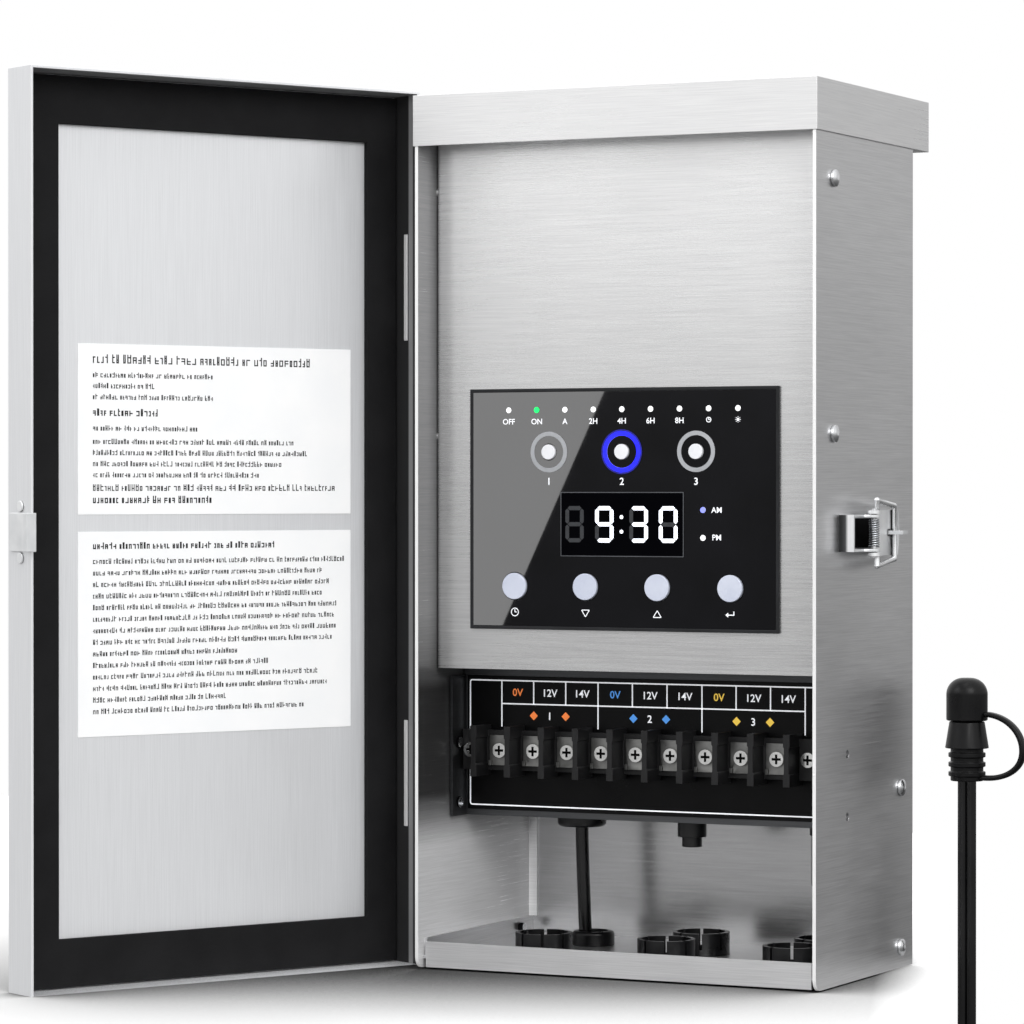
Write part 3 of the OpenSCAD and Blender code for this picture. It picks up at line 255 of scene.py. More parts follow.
# The light sensor and its lead
# A flat two-core lead leaves a plug under the floor of the box, hangs in a tied coil and rises at the right to the
# sensor. Its ribbed rubber boot has a collar, and a capped top whose strap loops out beside it.
LEAD_W, LEAD_T, LEAD_SIDES = 8, 4.2, 44
TWIST_RISE = 48
lead_drop = [at(*p) for p in (
    (68.3, 61, 35), (68.3, 61, 24), (68.3, 61, 12), (68.3, 61, 0), (67.6, 61.4, -12), (65, 63, -24), (60.6, 65.8, -36),
    (55, 69.4, -48), (49.6, 72.7, -60), (45.6, 75.2, -72), (44, 76.2, -84))]
lead_rings = coiled(cx=77.9, cz=-92, y0=76.3, r=34, turns=4.5, pitch=8.6, way=1)
SENSOR_X, SENSOR_Y = 111.9, 115
lead_rise = [at(SENSOR_X, SENSOR_Y, z) for z in (-80, -68, -56, -44, -32, -20, 0, 20, 40, 60, 77.6)]
lead_route = lead_drop + lead_rings + lead_rise


def lead_side(i):
    """The way that the lead's width points: into the box's depth, and after a quarter twist in the rise along it."""
    risen = max(0, lead_route[i].z - lead_rise[0].z) if i >= len(lead_route) - len(lead_rise) else 0
    turn = min(1, risen / (TWIST_RISE * MM))
    angle = math.pi / 2 * turn * turn * (3 - 2 * turn)
    return Vector((math.sin(angle), math.cos(angle), 0))


def swept(name, route, side, profile):
    """A tube along route whose section, in metres along side and across it, is profile."""
    bm = bmesh.new()
    rings = []
    for i, place in enumerate(route):
        ahead = (route[min(i + 1, len(route) - 1)] - route[max(i - 1, 0)]).normalized()
        u = side(i)
        u = (u - ahead * u.dot(ahead)).normalized()
        v = ahead.cross(u)
        rings.append([bm.verts.new(place + u * a + v * b) for a, b in profile])
    for low, high in zip(rings, rings[1:]):
        for j in range(len(profile)):
            k = (j + 1) % len(profile)
            bm.faces.new((low[j], low[k], high[k], high[j]))
    bm.faces.new(rings[0][::-1])
    bm.faces.new(rings[-1])
    bmesh.ops.recalc_face_normals(bm, faces=bm.faces)
    return smooth(formed(name, bm), 40)


def rounded(points, parts):
    """A Catmull-Rom line through the points, with each stretch cut into that many parts."""
    line = []
    for i in range(len(points) - 1):
        a, b, c, d = (points[max(0, min(len(points) - 1, i + k))] for k in (-1, 0, 1, 2))
        for t in (k / parts for k in range(parts)):
            bend = (2 * a - 5 * b + 4 * c - d) * t ** 2 + (3 * b - a - 3 * c + d) * t ** 3
            line.append(0.5 * (2 * b + (c - a) * t + bend))
    return line + [points[-1]]


def two_cores(a):
    """A point of the lead's section: two round cores that run into each other."""
    across, core = LEAD_W / 2 * math.cos(a), LEAD_T / 2
    off_core = abs(across) - (LEAD_W / 2 - core)
    return across * MM, math.copysign(math.sqrt(max(core ** 2 - off_core ** 2, 0)), math.sin(a)) * MM


lead_section = [two_cores(math.tau * i / LEAD_SIDES) for i in range(LEAD_SIDES)]
sensor_lead = keep(swept("sensor_lead", lead_route, lead_side, lead_section),
                   "case", cord_rubber, "sensor_lead_drop", "sensor_coil", "sensor_lead_rise")
# Moulded rubber that has been handled: a soft dull black with faint dusty patches.
boot_rubber = moulded("Sensor boot rubber", "#060607", "#0e0e0f", 0.3, 0.4, 0.1, wear=0.04, shine=0.2)
eased("sensor_plug", 0.4, boot_rubber)
sensor_boot = eased("sensor_body", 0.35, boot_rubber, 30)
sensor_cap = eased("sensor_cap", 0.6, boot_rubber, 30)
STRAP_T, STRAP_W, STRAP_SIDES, STRAP_SQUARE = 2.3, 4.6, 20, 0.6
strap_route = [at(x, SENSOR_Y, z) for x, z in (
    (118.6, 105.8), (122.5, 105.6), (126.8, 104.4), (130.8, 102.1), (134, 98.8), (136, 94.8), (136.6, 90.6),
    (135.8, 86.6), (133.4, 83.2), (129.8, 80.8), (125.4, 79.4), (121, 79), (117.6, 79.2))]
strap_section = []
for i in range(STRAP_SIDES):
    c, s = math.cos(math.tau * i / STRAP_SIDES), math.sin(math.tau * i / STRAP_SIDES)
    strap_section.append((STRAP_W / 2 * MM * math.copysign(abs(c) ** STRAP_SQUARE, c),
                          STRAP_T / 2 * MM * math.copysign(abs(s) ** STRAP_SQUARE, s)))
sensor_strap = keep(swept("sensor_strap_form", rounded(strap_route, 4), lambda i: Vector((0, 1, 0)), strap_section),
                    None, boot_rubber, "sensor_strap")
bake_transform(sensor_strap)
sensor_tie = eased("sensor_tie", 0.25, tie_nylon)

# The case, the rain cap and the bottom pan
# They are folded from 1.5, 0.6 and 1.2 mm stainless sheet, brushed along the walls. The cap laps over the case's top,
# and the pan closes its foot behind a short lip. Cut edges are slightly broken.


def brushed(name, dark, light, grain, roughness, bump=0.12, metal=1, painted_shade=()):
    """Brushed stainless steel. grain gives the length of its scratches along x, y and z in millimetres.
    painted_shade gives (height above the foot, share) stops of shade painted into the tone by height, where fittings
    shade a wall or a panel is lit less towards its foot."""
    mat, surface, place = blank(name)
    stretched = add(mat, "Mapping", {"Vector": place, "Scale": tuple(1 / (g * MM) for g in grain)})
    scratches = add(mat, "TexNoise", {"Vector": stretched.outputs["Vector"], "Scale": 1, "Detail": 6,
                                      "Roughness": 0.62}).outputs["Fac"]
    handling = add(mat, "TexNoise", {"Vector": place, "Scale": 14, "Detail": 3}).outputs["Fac"]
    tone = add(mat, "ValToRGB", {"Fac": scratches}, [(0.25, linear(dark)), (0.75, linear(light))]).outputs["Color"]
    # Shade painted by height darkens the tone here.
    if painted_shade:
        height = add(mat, "MapRange", {"Value": add(mat, "SeparateXYZ", {"Vector": place}).outputs["Z"],
                                       "From Min": CASE_LOW.z, "From Max": CASE_HIGH.z})
        tall = (CASE_HIGH.z - CASE_LOW.z) / MM
        share = add(mat, "ValToRGB", {"Fac": height.outputs["Result"]}, [(z / tall, (k, k, k, 1)) for z, k in painted_shade])
        tone = add(mat, "MixRGB", {"Fac": 1.0, "Color1": tone, "Color2": share.outputs["Color"]},
                   blend_type="MULTIPLY").outputs["Color"]
    worn = add(mat, "MapRange", {"Value": handling, "From Min": 0.35, "From Max": 0.65,
                                 "To Min": roughness - 0.03, "To Max": roughness + 0.04})
    gloss = add(mat, "MapRange", {"Value": scratches, "From Min": 0.3, "From Max": 0.7,
                                  "To Min": -0.03, "To Max": 0.05})
    rough = add(mat, "Math", {0: worn.outputs["Result"], 1: gloss.outputs["Result"]}, operation="ADD")
    grooves = add(mat, "Bump", {"Height": scratches, "Strength": bump, "Distance": 0.06 * MM})
    wire(mat, surface, {"Metallic": metal, "Base Color": tone, "Roughness": rough.outputs["Value"],
                        "Normal": grooves.outputs["Normal"], "Specular IOR Level": 0.1})
    return mat


def finished(piece, mat, wanted):
    """Gives a second finish to the faces of a piece whose middle and normal are wanted."""
    piece.data.materials.append(mat)
    for face in piece.data.polygons:
        if wanted(face.center, face.normal):
            face.material_index = len(piece.data.materials) - 1
    return piece


# The scratches are drawn about three times as coarse as real ones, so that they show. Cut edges are painted a near
# white line as a highlight, and the two inner walls are polished less, with painted shade for the dark fittings that
# they mirror: the back wall evenly darker, the left wall near black at the height of the terminals.
ALONG_WALLS = (26, 26, 0.32)
wall_steel = brushed("Stainless brushed along the walls", "#d6d6d7", "#f0f0f1", ALONG_WALLS, 0.34)
cut_edge_highlight = brushed("Cut edges of the sheet painted bright as a highlight", "#fdfdfd", "#ffffff", (9, 9, 9), 0.2, bump=0, metal=0.3)
left_steel = brushed("Stainless inside the left wall with painted shade", "#dededf", "#fbfbfc", ALONG_WALLS, 0.2, bump=0.08,
                     metal=0.4, painted_shade=[(0, 1), (50, 1), (62, 0.4), (72, 0.07), (116, 0.05), (128, 0.2), (150, 0.36)])
back_steel = brushed("Stainless inside the back wall painted darker as shade", "#b4b4b5", "#cbcbcc", ALONG_WALLS, 0.2, bump=0.08, metal=0.85)
# The cap's steel is painted a little lighter than the walls', as painted light on its brighter front.
cap_steel = brushed("Stainless brushed along the cap", "#e0e0e1", "#f6f6f6", ALONG_WALLS, 0.3, metal=0.85)
SHEET, INSIDE, LIP_DEPTH = 1.6 * MM, 3 * MM, 6 * MM
case = eased("case_shell", 0.25, wall_steel)
finished(case, cut_edge_highlight, lambda c, n: abs(n.x) < 0.1 and n.y < -0.05 and c.y < CASE_LOW.y + LIP_DEPTH
         and abs(c.x) > CASE_HIGH.x - SHEET)
finished(case, left_steel, lambda c, n: n.x > 0.9 and c.x < CASE_LOW.x + INSIDE)
finished(case, back_steel, lambda c, n: n.y < -0.9 and c.y > CASE_HIGH.y - INSIDE)
eased("rain_cap", 0.2, cap_steel)
eased("bottom_pan", 0.2, wall_steel)

# The front panel and the terminal bracket
# The panel is a bright brushed sheet bent back along its sides and foot, behind the case's front edges. The bracket's
# web carries the terminals below it. Both are fixed to the side walls.
# The panel is painted darker towards its foot, as painted shade.
panel_steel = brushed("Stainless brushed panel", "#dfdfe0", "#ffffff", (30, 30, 0.3), 0.27, bump=0.14, metal=0.76,
                      painted_shade=[(135, 0.66), (200, 0.71), (240, 0.78), (280, 0.88), (335, 1)])
eased("front_panel", 0.3, panel_steel)
# Flush rivets close the panel's two holes in the left wall, where the door leaves no room for heads.
RIVET_X, RIVET_Y, RIVET_ZS = -88.65, 18.4, (222.8, 325.6)
RIVET_R, RIVET_LONG = 1.68 * MM, 3.3 * MM
bm = bmesh.new()
for z in RIVET_ZS:
    turned = Matrix.Translation(at(RIVET_X, RIVET_Y, z)) @ Matrix.Rotation(math.pi / 2, 4, "Y")
    bmesh.ops.create_cone(bm, cap_ends=True, segments=32, radius1=RIVET_R, radius2=RIVET_R, depth=RIVET_LONG,
                          matrix=turned)
keep(formed("flush_rivets", bm), "case", panel_steel)
# The bracket's steel is painted dark, as painted shade and a painted reflection of the dark terminals.
bracket_shade_steel = brushed("Bracket steel painted dark as shade", "#4c4d4f", "#5c5d5f", (20, 20, 0.4), 0.42)
eased("terminal_bracket", 0.1, bracket_shade_steel)

# The wall screws
# Pan-head machine screws with a cross recess, bright zinc, hold the panel and the bracket through the side walls.
# Their threads inside are painted near black as shade, but for those of the bracket.
screw_zinc = plated("Bright zinc screws", "#dcdee0", "#f2f3f5", 0.2, 8, hollow=2.2)
thread_shade = plated("Screw threads painted dark as shade", "#0c0c0d", "#18181a", 0.6, 2)
WALL_FACE, BRACKET_TOP = CASE_HIGH.x - 0.2 * MM, at(0, 0, 135).z
finished(eased("case_screws", 0.12, screw_zinc, 30), thread_shade,
         lambda c, n: abs(c.x) < WALL_FACE and (c.z > BRACKET_TOP or abs(n.x) < 0.5))

# The control panel
# A glossy black glass film lies in a thin moulded bezel. Behind it glow a clock of four figures, the lamp rings of
# three zones and nine status lenses, and marks are printed on it beside the domed keys. The unlit lenses and clock
# segments glow faintly as painted light.
bezel_plastic = moulded("Bezel plastic", "#17181a", "#222326", 0.35, 0.5, 0.08)
eased("control_bezel", 0.25, bezel_plastic)


def glassy(name, dark, light, roughness, shine):
    """Glossy printed film: an even dark tone with faint smears in its polish."""
    mat, surface, place = blank(name)
    smears = add(mat, "TexNoise", {"Vector": place, "Scale": 35, "Detail": 5}).outputs["Fac"]
    tone = add(mat, "ValToRGB", {"Fac": smears}, [(0.35, linear(dark)), (0.7, linear(light))])
    polish = add(mat, "MapRange", {"Value": smears, "From Min": 0.3, "From Max": 0.7,
                                   "To Min": roughness, "To Max": roughness * 1.6})
    wire(mat, surface, {"Base Color": tone.outputs["Color"], "Roughness": polish.outputs["Result"],
                        "Specular IOR Level": shine})
    return mat


def glowing(name, code, strength, edge="#000000"):
    """A lit lens, or an unlit lens or print given a painted glow: its colour glows from within, a little uneven as a
    diffuser is.
    """
    mat, surface, place = blank(name)
    cloud = add(mat, "TexNoise", {"Vector": place, "Scale": 900, "Detail": 2}).outputs["Fac"]
    tone = add(mat, "ValToRGB", {"Fac": cloud}, [(0.2, linear(edge)), (0.55, linear(code))]).outputs["Color"]
    wire(mat, surface, {"Base Color": tone, "Emission Color": tone, "Emission Strength": strength, "Roughness": 0.3})
    return mat


# The glass mirrors one screen sharply and the window nothing. The keys and rings are moulded resin, and the
# lenses' resin has a painted glow, though only the green lens is lit.
panel_glass = glassy("Black panel glass", "#050506", "#08080a", 0.012, 0.12)
window_glass = glassy("Display window glass", "#020203", "#030304", 0.08, 0)
control_panel = eased("control_panel", 0.15, panel_glass)
display_window = eased("display_window", 0.05, window_glass)
ring_grey = moulded("Zone ring plastic", "#a4a6aa", "#b8babe", 0.35, 0.5, 0.1)
eased("zone_rings", 0.06, ring_grey)
key_white = moulded("Key resin", "#c6ccde", "#d8ddeb", 0.3, 0.6, 0.08)
for key in ("key_clock", "key_down", "key_up", "key_enter"):
    eased(key, 0.3, key_white)
zone_resin = moulded("Zone key resin", "#ecedf2", "#fafbfd", 0.3, 0.6, 0.08)
for key in ("zone_key_1", "zone_key_2", "zone_key_3"):
    eased(key, 0.25, zone_resin)
lens_resin = glowing("Lens resin with a painted glow", "#ffffff", 0.45, "#e9ecf2")
eased("indicator_lenses", 0.06, lens_resin)

GLASS_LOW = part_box("control_panel")[0]
WINDOW_LOW, WINDOW_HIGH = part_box("display_window")
INLAY_FRONT = (WINDOW_LOW.y - CASE_LOW.y) / MM
PRINT = 0.04


def plates(name, outlines, front, body, mat, thick=PRINT, turn=None):
    """Flat marks in one piece. Each outline is a list of (x, z) in millimetres, and its face stands at front."""
    bm = bmesh.new()
    for outline in outlines:
        near = [bm.verts.new(at(x, front - thick, z)) for x, z in outline]
        far = [bm.verts.new(at(x, front, z)) for x, z in outline]
        bm.faces.new(near)
        bm.faces.new(far[::-1])
        for i in range(len(outline)):
            k = (i + 1) % len(outline)
            bm.faces.new((near[i], far[i], far[k], near[k]))
    bmesh.ops.recalc_face_normals(bm, faces=bm.faces)
    return keep(formed(name, bm, turn), body, mat)


def bar(x0, z0, x1, z1):
    return [(x0, z0), (x1, z0), (x1, z1), (x0, z1)]


def stroke(x0, z0, x1, z1, width):
    """A straight line with pointed ends, as a display's segment has."""
    along = Vector((x1 - x0, z1 - z0)).normalized() * width / 2
    across = Vector((-along.y, along.x))
    a, b = Vector((x0, z0)), Vector((x1, z1))
    corners = (a, a + along + across, b - along + across, b, b - along - across, a + along - across)
    return [tuple(p) for p in corners]


def disc(cx, cz, r, r_in=0, start=0, end=360, steps=24):
    """Outlines of a disc, or of a ring's quads from start to end in degrees."""
    angles = [math.radians(start + (end - start) * i / steps) for i in range(steps + 1)]
    outer = [(cx + r * math.cos(a), cz + r * math.sin(a)) for a in angles]
    if not r_in:
        return [outer[:-1]]
    inner = [(cx + r_in * math.cos(a), cz + r_in * math.sin(a)) for a in angles]
    return [[outer[i], outer[i + 1], inner[i + 1], inner[i]] for i in range(steps)]


FIGURE_W, FIGURE_H, SEGMENT, SEGMENT_GAP = 8.4, 15, 1.7, 0.18
# The places and lit segments of a dark figure and of 9, 3 and 0.
FIGURES = ((-21.5, ""), (-7.9, "abcdfg"), (7.7, "abcdg"), (21.0, "abcdef"))
COLON_X, COLON_RISE, COLON_R = -0.1, 3, 0.8


def segments(cx, cz, wanted):
    """The named segments of one figure of the clock, lettered from the top in clockwise order with g in the middle."""
    w, h = FIGURE_W / 2 - SEGMENT / 2, FIGURE_H / 2 - SEGMENT / 2
    ends = {"a": (-w, h, w, h), "b": (w, h, w, 0), "c": (w, 0, w, -h), "d": (-w, -h, w, -h),
            "e": (-w, -h, -w, 0), "f": (-w, 0, -w, h), "g": (-w, 0, w, 0)}
    shapes = []
    for letter in wanted:
        x0, z0, x1, z1 = ends[letter]
        ahead = Vector((x1 - x0, z1 - z0)).normalized() * SEGMENT_GAP
        shapes.append(stroke(cx + x0 + ahead.x, cz + z0 + ahead.y, cx + x1 - ahead.x, cz + z1 - ahead.y, SEGMENT))
    return shapes


window_x = (WINDOW_LOW.x + WINDOW_HIGH.x) / 2 / MM
window_z = ((WINDOW_LOW.z + WINDOW_HIGH.z) / 2 - CASE_LOW.z) / MM
lit_shapes, dim_shapes = [], []
for offset, lit in FIGURES:
    lit_shapes += segments(window_x + offset, window_z, lit)
    dim_shapes += segments(window_x + offset, window_z, [s for s in "abcdefg" if s not in lit])
for rise in (-COLON_RISE, COLON_RISE):
    lit_shapes += disc(window_x + COLON_X, window_z + rise, COLON_R)
clock_glow = glowing("Lit clock segments", "#f4f7ff", 1.0, "#dfe6f5")
# The unlit segments glow faintly as painted light.
clock_dim = glowing("Unlit clock segments with a faint painted glow", "#2b2d31", 0.25, "#1c1d20")
plates("clock_lit", lit_shapes, INLAY_FRONT, "case", clock_glow)
plates("clock_unlit", dim_shapes, INLAY_FRONT, "case", clock_dim)
RIM, RIM_THICK = 0.35, 0.03
x0, x1 = WINDOW_LOW.x / MM, WINDOW_HIGH.x / MM
z0, z1 = (WINDOW_LOW.z - CASE_LOW.z) / MM, (WINDOW_HIGH.z - CASE_LOW.z) / MM
rim_grey = moulded("Printed grey line", "#4a4c50", "#5a5c60", 0.4, 0.4, 0.05)
plates("window_rim", [bar(x0, z0, x1, z0 + RIM), bar(x0, z1 - RIM, x1, z1),
                      bar(x0, z0 + RIM, x0 + RIM, z1 - RIM), bar(x1 - RIM, z0 + RIM, x1, z1 - RIM)],
       INLAY_FRONT, "case", rim_grey, RIM_THICK)

LENS_XS = [-53.4 + 13 * i for i in range(9)]
LENS_Z, ZONE_Z, KEY_Z = 233.4, 215.9, 160.1
ZONE_XS = (-34.8, -1.4, 32)
KEY_XS = (-50.6, -17.99, 14.6, 47.2)
LENS_R, RING_IN, RING_OUT, RING_SPILL = 1.25, 6.7, 8.45, 9.2
MORNING_X, MORNING_Z, MORNING_R = 35.1, 192, 1.2
ON_LENS, BLUE_ZONE = LENS_XS[1], ZONE_XS[1]
# One status lens is lit green, the middle zone's ring blue with a dim rim, and the morning lens faintly blue.
green_glow = glowing("Green lens glow", "#16f56a", 0.9, "#0fdc58")
plates("green_lens", disc(ON_LENS, LENS_Z, LENS_R), INLAY_FRONT, "case", green_glow)
blue_glow = glowing("Blue ring glow", "#1418ff", 1.1, "#0a0ae0")
plates("blue_ring", disc(BLUE_ZONE, ZONE_Z, RING_OUT, RING_IN, steps=48), INLAY_FRONT, "case", blue_glow)
blue_spill = glowing("Blue light spilling from the ring", "#101090", 0.5, "#08083c")
plates("blue_rim", disc(BLUE_ZONE, ZONE_Z, RING_SPILL, RING_OUT, steps=48), INLAY_FRONT, "case", blue_spill)
blue_haze = glowing("Blue lens haze", "#8f98ff", 0.5, "#7078e0")
plates("morning_lens", disc(MORNING_X, MORNING_Z, MORNING_R), INLAY_FRONT, "case", blue_haze)

LETTER_SHARE, LETTER_SWELL = 0.7, 0.014


def lettering(name, marks, front, body, mat):
    """Printed figures in one piece. Each mark is (text, x, z, height) in millimetres, by its middle and its foot."""
    bm = bmesh.new()
    for text, x, z, height in marks:
        curve = bpy.data.curves.new("mark", "FONT")
        curve.body = text
        curve.size = height * MM / LETTER_SHARE
        curve.align_x = "CENTER"
        curve.offset = LETTER_SWELL * curve.size
        curve.resolution_u = 3
        item = bpy.data.objects.new("mark", curve)
        bpy.context.scene.collection.objects.link(item)
        bpy.context.view_layer.update()
        mesh = bpy.data.meshes.new_from_object(item.evaluated_get(bpy.context.evaluated_depsgraph_get()))
        mesh.transform(Matrix.Translation(at(x, front - PRINT, z)) @ Matrix.Rotation(math.pi / 2, 4, "X"))
        bm.from_mesh(mesh)
        bpy.data.objects.remove(item)
        bpy.data.curves.remove(curve)
        bpy.data.meshes.remove(mesh)
    return keep(formed(name, bm), body, mat)


# Screen print is flat, and a painted glow keeps it white or coloured in the shade.
print_white = glowing("White print with a painted glow", "#f2f4f8", 0.4, "#e4e6ea")
GLASS_FRONT = (GLASS_LOW.y - CASE_LOW.y) / MM
STATUS_FIGURE, ZONE_FIGURE, HALF_DAY_X = 2.3, 2.9, 41.2
status_names = zip(("OFF", "ON", "A", "2H", "4H", "6H", "8H"), LENS_XS)
lettering("panel_figures", [(f, x, LENS_Z - 5.9, STATUS_FIGURE) for f, x in status_names]
          + [(str(i + 1), x, ZONE_Z - 13.6, ZONE_FIGURE) for i, x in enumerate(ZONE_XS)]
          + [("AM", HALF_DAY_X, 190.9, STATUS_FIGURE), ("PM", HALF_DAY_X, 179.7, STATUS_FIGURE)],
          GLASS_FRONT, "case", print_white)
PEN = 0.34


def loop(points):
    """The outline of a closed figure, drawn with one pen stroke a side."""
    return [stroke(*a, *b, PEN) for a, b in zip(points, points[1:] + points[:1])]


def dial(x, z, r):
    """A little clock face with its two hands."""
    return disc(x, z, r, r - PEN) + [stroke(x, z - 0.1, x, z + r * 0.7, PEN), stroke(x - 0.1, z, x + r * 0.55, z, PEN)]


def sun(x, z, r):
    """A little sun with eight rays."""
    rays = [(math.cos(a), math.sin(a)) for a in (math.tau * i / 8 for i in range(8))]
    return disc(x, z, r * 0.5) + [stroke(x + c * r * 0.65, z + s * r * 0.65, x + c * r, z + s * r, PEN * 0.8)
                                  for c, s in rays]


key_1, key_2, key_3, key_4 = KEY_XS
mark_z, symbol_z = KEY_Z - 10.8, LENS_Z - 4.6
symbols = dial(key_1, mark_z, 1.8) + dial(LENS_XS[7], symbol_z, 1.15) + sun(LENS_XS[8], symbol_z, 1.3)
symbols += loop([(key_2 - 1.8, mark_z + 1.2), (key_2, mark_z - 1.6), (key_2 + 1.8, mark_z + 1.2)])
symbols += loop([(key_3 - 1.8, mark_z - 1.4), (key_3 + 1.8, mark_z - 1.4), (key_3, mark_z + 1.4)])
symbols += [bar(key_4 - 1.2, mark_z - 0.2, key_4 + 1.8, mark_z + 0.2),
            bar(key_4 + 1.4, mark_z, key_4 + 1.8, mark_z + 1.5),
            [(key_4 - 2.2, mark_z), (key_4 - 0.9, mark_z - 1), (key_4 - 0.9, mark_z + 1)]]
plates("panel_symbols", symbols, GLASS_FRONT, "case", print_white)

# The circuit board and the ring transformer
# Behind the panel sit the timer's green board and the ring transformer, wound with enamelled wire under clear tape
# and held to the back wall by a rubber-cushioned dish and one bolt.
board_green = moulded("Green circuit board", "#0d4a24", "#14582c", 0.35, 1, 0.1)
eased("circuit_board", 0.1, board_green)
winding_tape = moulded("Taped winding", "#a78a3a", "#c3a550", 0.3, 2, 0.3)
eased("transformer_coil", 0, winding_tape, 40)
zinc = plated("Galvanised steel", "#a9abad", "#c3c5c7", 0.42, 4, hollow=0.2)
eased("transformer_mount", 0.2, zinc)

# The terminals
# A black printed label carries the phenolic terminal block: ten barriers with a clamp and a pan-head screw between
# each pair. White lines divide the label into columns, with coloured tap names above the block.
label_film = glassy("Black label film", "#050506", "#09090a", 0.25, 0.12)
eased("terminal_label", 0.1, label_film)
phenolic = moulded("Terminal block phenolic", "#161617", "#202021", 0.4, 0.7, 0.08)
eased("terminal_block", 0.3, phenolic)
# The clamps are painted a darker nickel as the barriers' shade. The screws are bright, and the floors of their
# crosses are painted black as shade.
clamp_nickel = plated("Nickel-plated clamps painted darker as shade", "#767675", "#929290", 0.3, 6, hollow=2)
eased("terminal_clamps", 0.12, clamp_nickel)
bright_nickel = plated("Bright nickel screw heads", "#dededd", "#f2f2f0", 0.16, 8, hollow=1.2)
recess_shade = moulded("Cross recesses painted black as shade", "#060606", "#0c0c0c", 0.6, 1, 0.05, shine=0.05)
HEADS_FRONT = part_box("terminal_screws")[0].y
finished(eased("terminal_screws", 0.12, bright_nickel, 30), recess_shade,
         lambda c, n: n.y < -0.9 and HEADS_FRONT + 0.4 * MM < c.y < HEADS_FRONT + 2 * MM)
LABEL_LOW, LABEL_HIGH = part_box("terminal_label")
LABEL_FRONT = (LABEL_LOW.y - CASE_LOW.y) / MM
LEFT, RIGHT, LINE, CORNER = -85.2, LABEL_HIGH.x / MM - 0.4, 0.55, 1.2
TOP_Z, ROW_Z, LOW_Z, ZONE_LOW = 119.5, 109.4, 65.9, 99.6
ZONE_EDGES = (-69.9, -24.7, 23, 69.2)
COLUMNS = [a + (b - a) * i / 3 for a, b in zip(ZONE_EDGES, ZONE_EDGES[1:]) for i in range(3)] + [ZONE_EDGES[-1]]
border = [bar(LEFT + CORNER, TOP_Z - LINE, RIGHT - CORNER, TOP_Z),
          bar(LEFT + CORNER, LOW_Z, RIGHT - CORNER, LOW_Z + LINE),
          bar(LEFT, LOW_Z + CORNER, LEFT + LINE, TOP_Z - CORNER),
          bar(RIGHT - LINE, LOW_Z + CORNER, RIGHT, TOP_Z - CORNER)]
for cx, cz, start in ((RIGHT - CORNER, TOP_Z - CORNER, 0), (LEFT + CORNER, TOP_Z - CORNER, 90),
                      (LEFT + CORNER, LOW_Z + CORNER, 180), (RIGHT - CORNER, LOW_Z + CORNER, 270)):
    border += disc(cx, cz, CORNER, CORNER - LINE, start, start + 90, 8)
for i, x in enumerate(COLUMNS):
    border.append(bar(x - LINE / 2, ZONE_LOW if i % 3 == 0 else ROW_Z, x + LINE / 2, TOP_Z - LINE))
border.append(bar(COLUMNS[0] + LINE / 2, ROW_Z - LINE / 2, COLUMNS[-1] - LINE / 2, ROW_Z + LINE / 2))
plates("label_lines", border, LABEL_FRONT, "case", print_white)
middles = [(a + b) / 2 for a, b in zip(COLUMNS, COLUMNS[1:])]
TAP_Z, NUMBER_Z, FIGURE, DIAMOND, DIAMOND_OFF = 112.8, 103, 3.1, 1.9, 7.5
taps = [(text, x, TAP_Z, FIGURE) for x, text in zip(middles, ("", "12V", "14V") * 3) if text]
numbers = [(str(i + 1), x, NUMBER_Z, FIGURE) for i, x in enumerate(middles[1::3])]
lettering("label_print", taps + numbers, LABEL_FRONT, "case", print_white)
# The coloured inks glow a little too, as painted light.
for ink_with_a_painted_glow, code, column in (("orange", "#f0803a", 0), ("blue", "#4a90dc", 3), ("yellow", "#e8c24a", 6)):
    print_ink = glowing(f"Printed {ink_with_a_painted_glow} ink", code, 0.4, code)
    lettering(f"label_zero_{ink_with_a_painted_glow}", [("0V", middles[column], TAP_Z, FIGURE)], LABEL_FRONT, "case", print_ink)
    zone_x, zone_z = middles[column + 1], NUMBER_Z + FIGURE / 2
    diamonds = [[(x, zone_z - DIAMOND), (x + DIAMOND, zone_z), (x, zone_z + DIAMOND), (x - DIAMOND, zone_z)]
                for x in (zone_x - DIAMOND_OFF, zone_x + DIAMOND_OFF)]
    plates(f"label_diamonds_{ink_with_a_painted_glow}", diamonds, LABEL_FRONT, "case", print_ink)

# The fittings in the floor
# The mains gland, the breaker with its reset button and the sensor's jack are screwed into the pan. Black snap
# bushings line the cable holes, and a soft rubber grommet the mains cord's.
fitting_nylon = moulded("Moulded nylon fittings", "#09090a", "#121214", 0.3, 0.5, 0.06, shine=0.4)
for fitting, width in (("mains_gland", 0.3), ("reset_breaker", 0.3), ("reset_button", 0.3), ("sensor_jack", 0.3),
                       ("snap_bushings_front", 0.25), ("snap_bushings_rear", 0.25)):
    eased(fitting, width, fitting_nylon, 30)
eased("cable_grommet", 0.5, boot_rubber, 30)

# The hinges
# Two leaves of bright steel are riveted to the case's left wall and to the door's rim, and turn on a steel pin.
hinge_steel = plated("Bright hinge steel", "#c9cacb", "#e3e4e5", 0.28, 3)
for node in ("hinge_case_leaves", "hinge_door_leaves", "hinge_pins"):
    eased(node, 0.12, hinge_steel, 30)

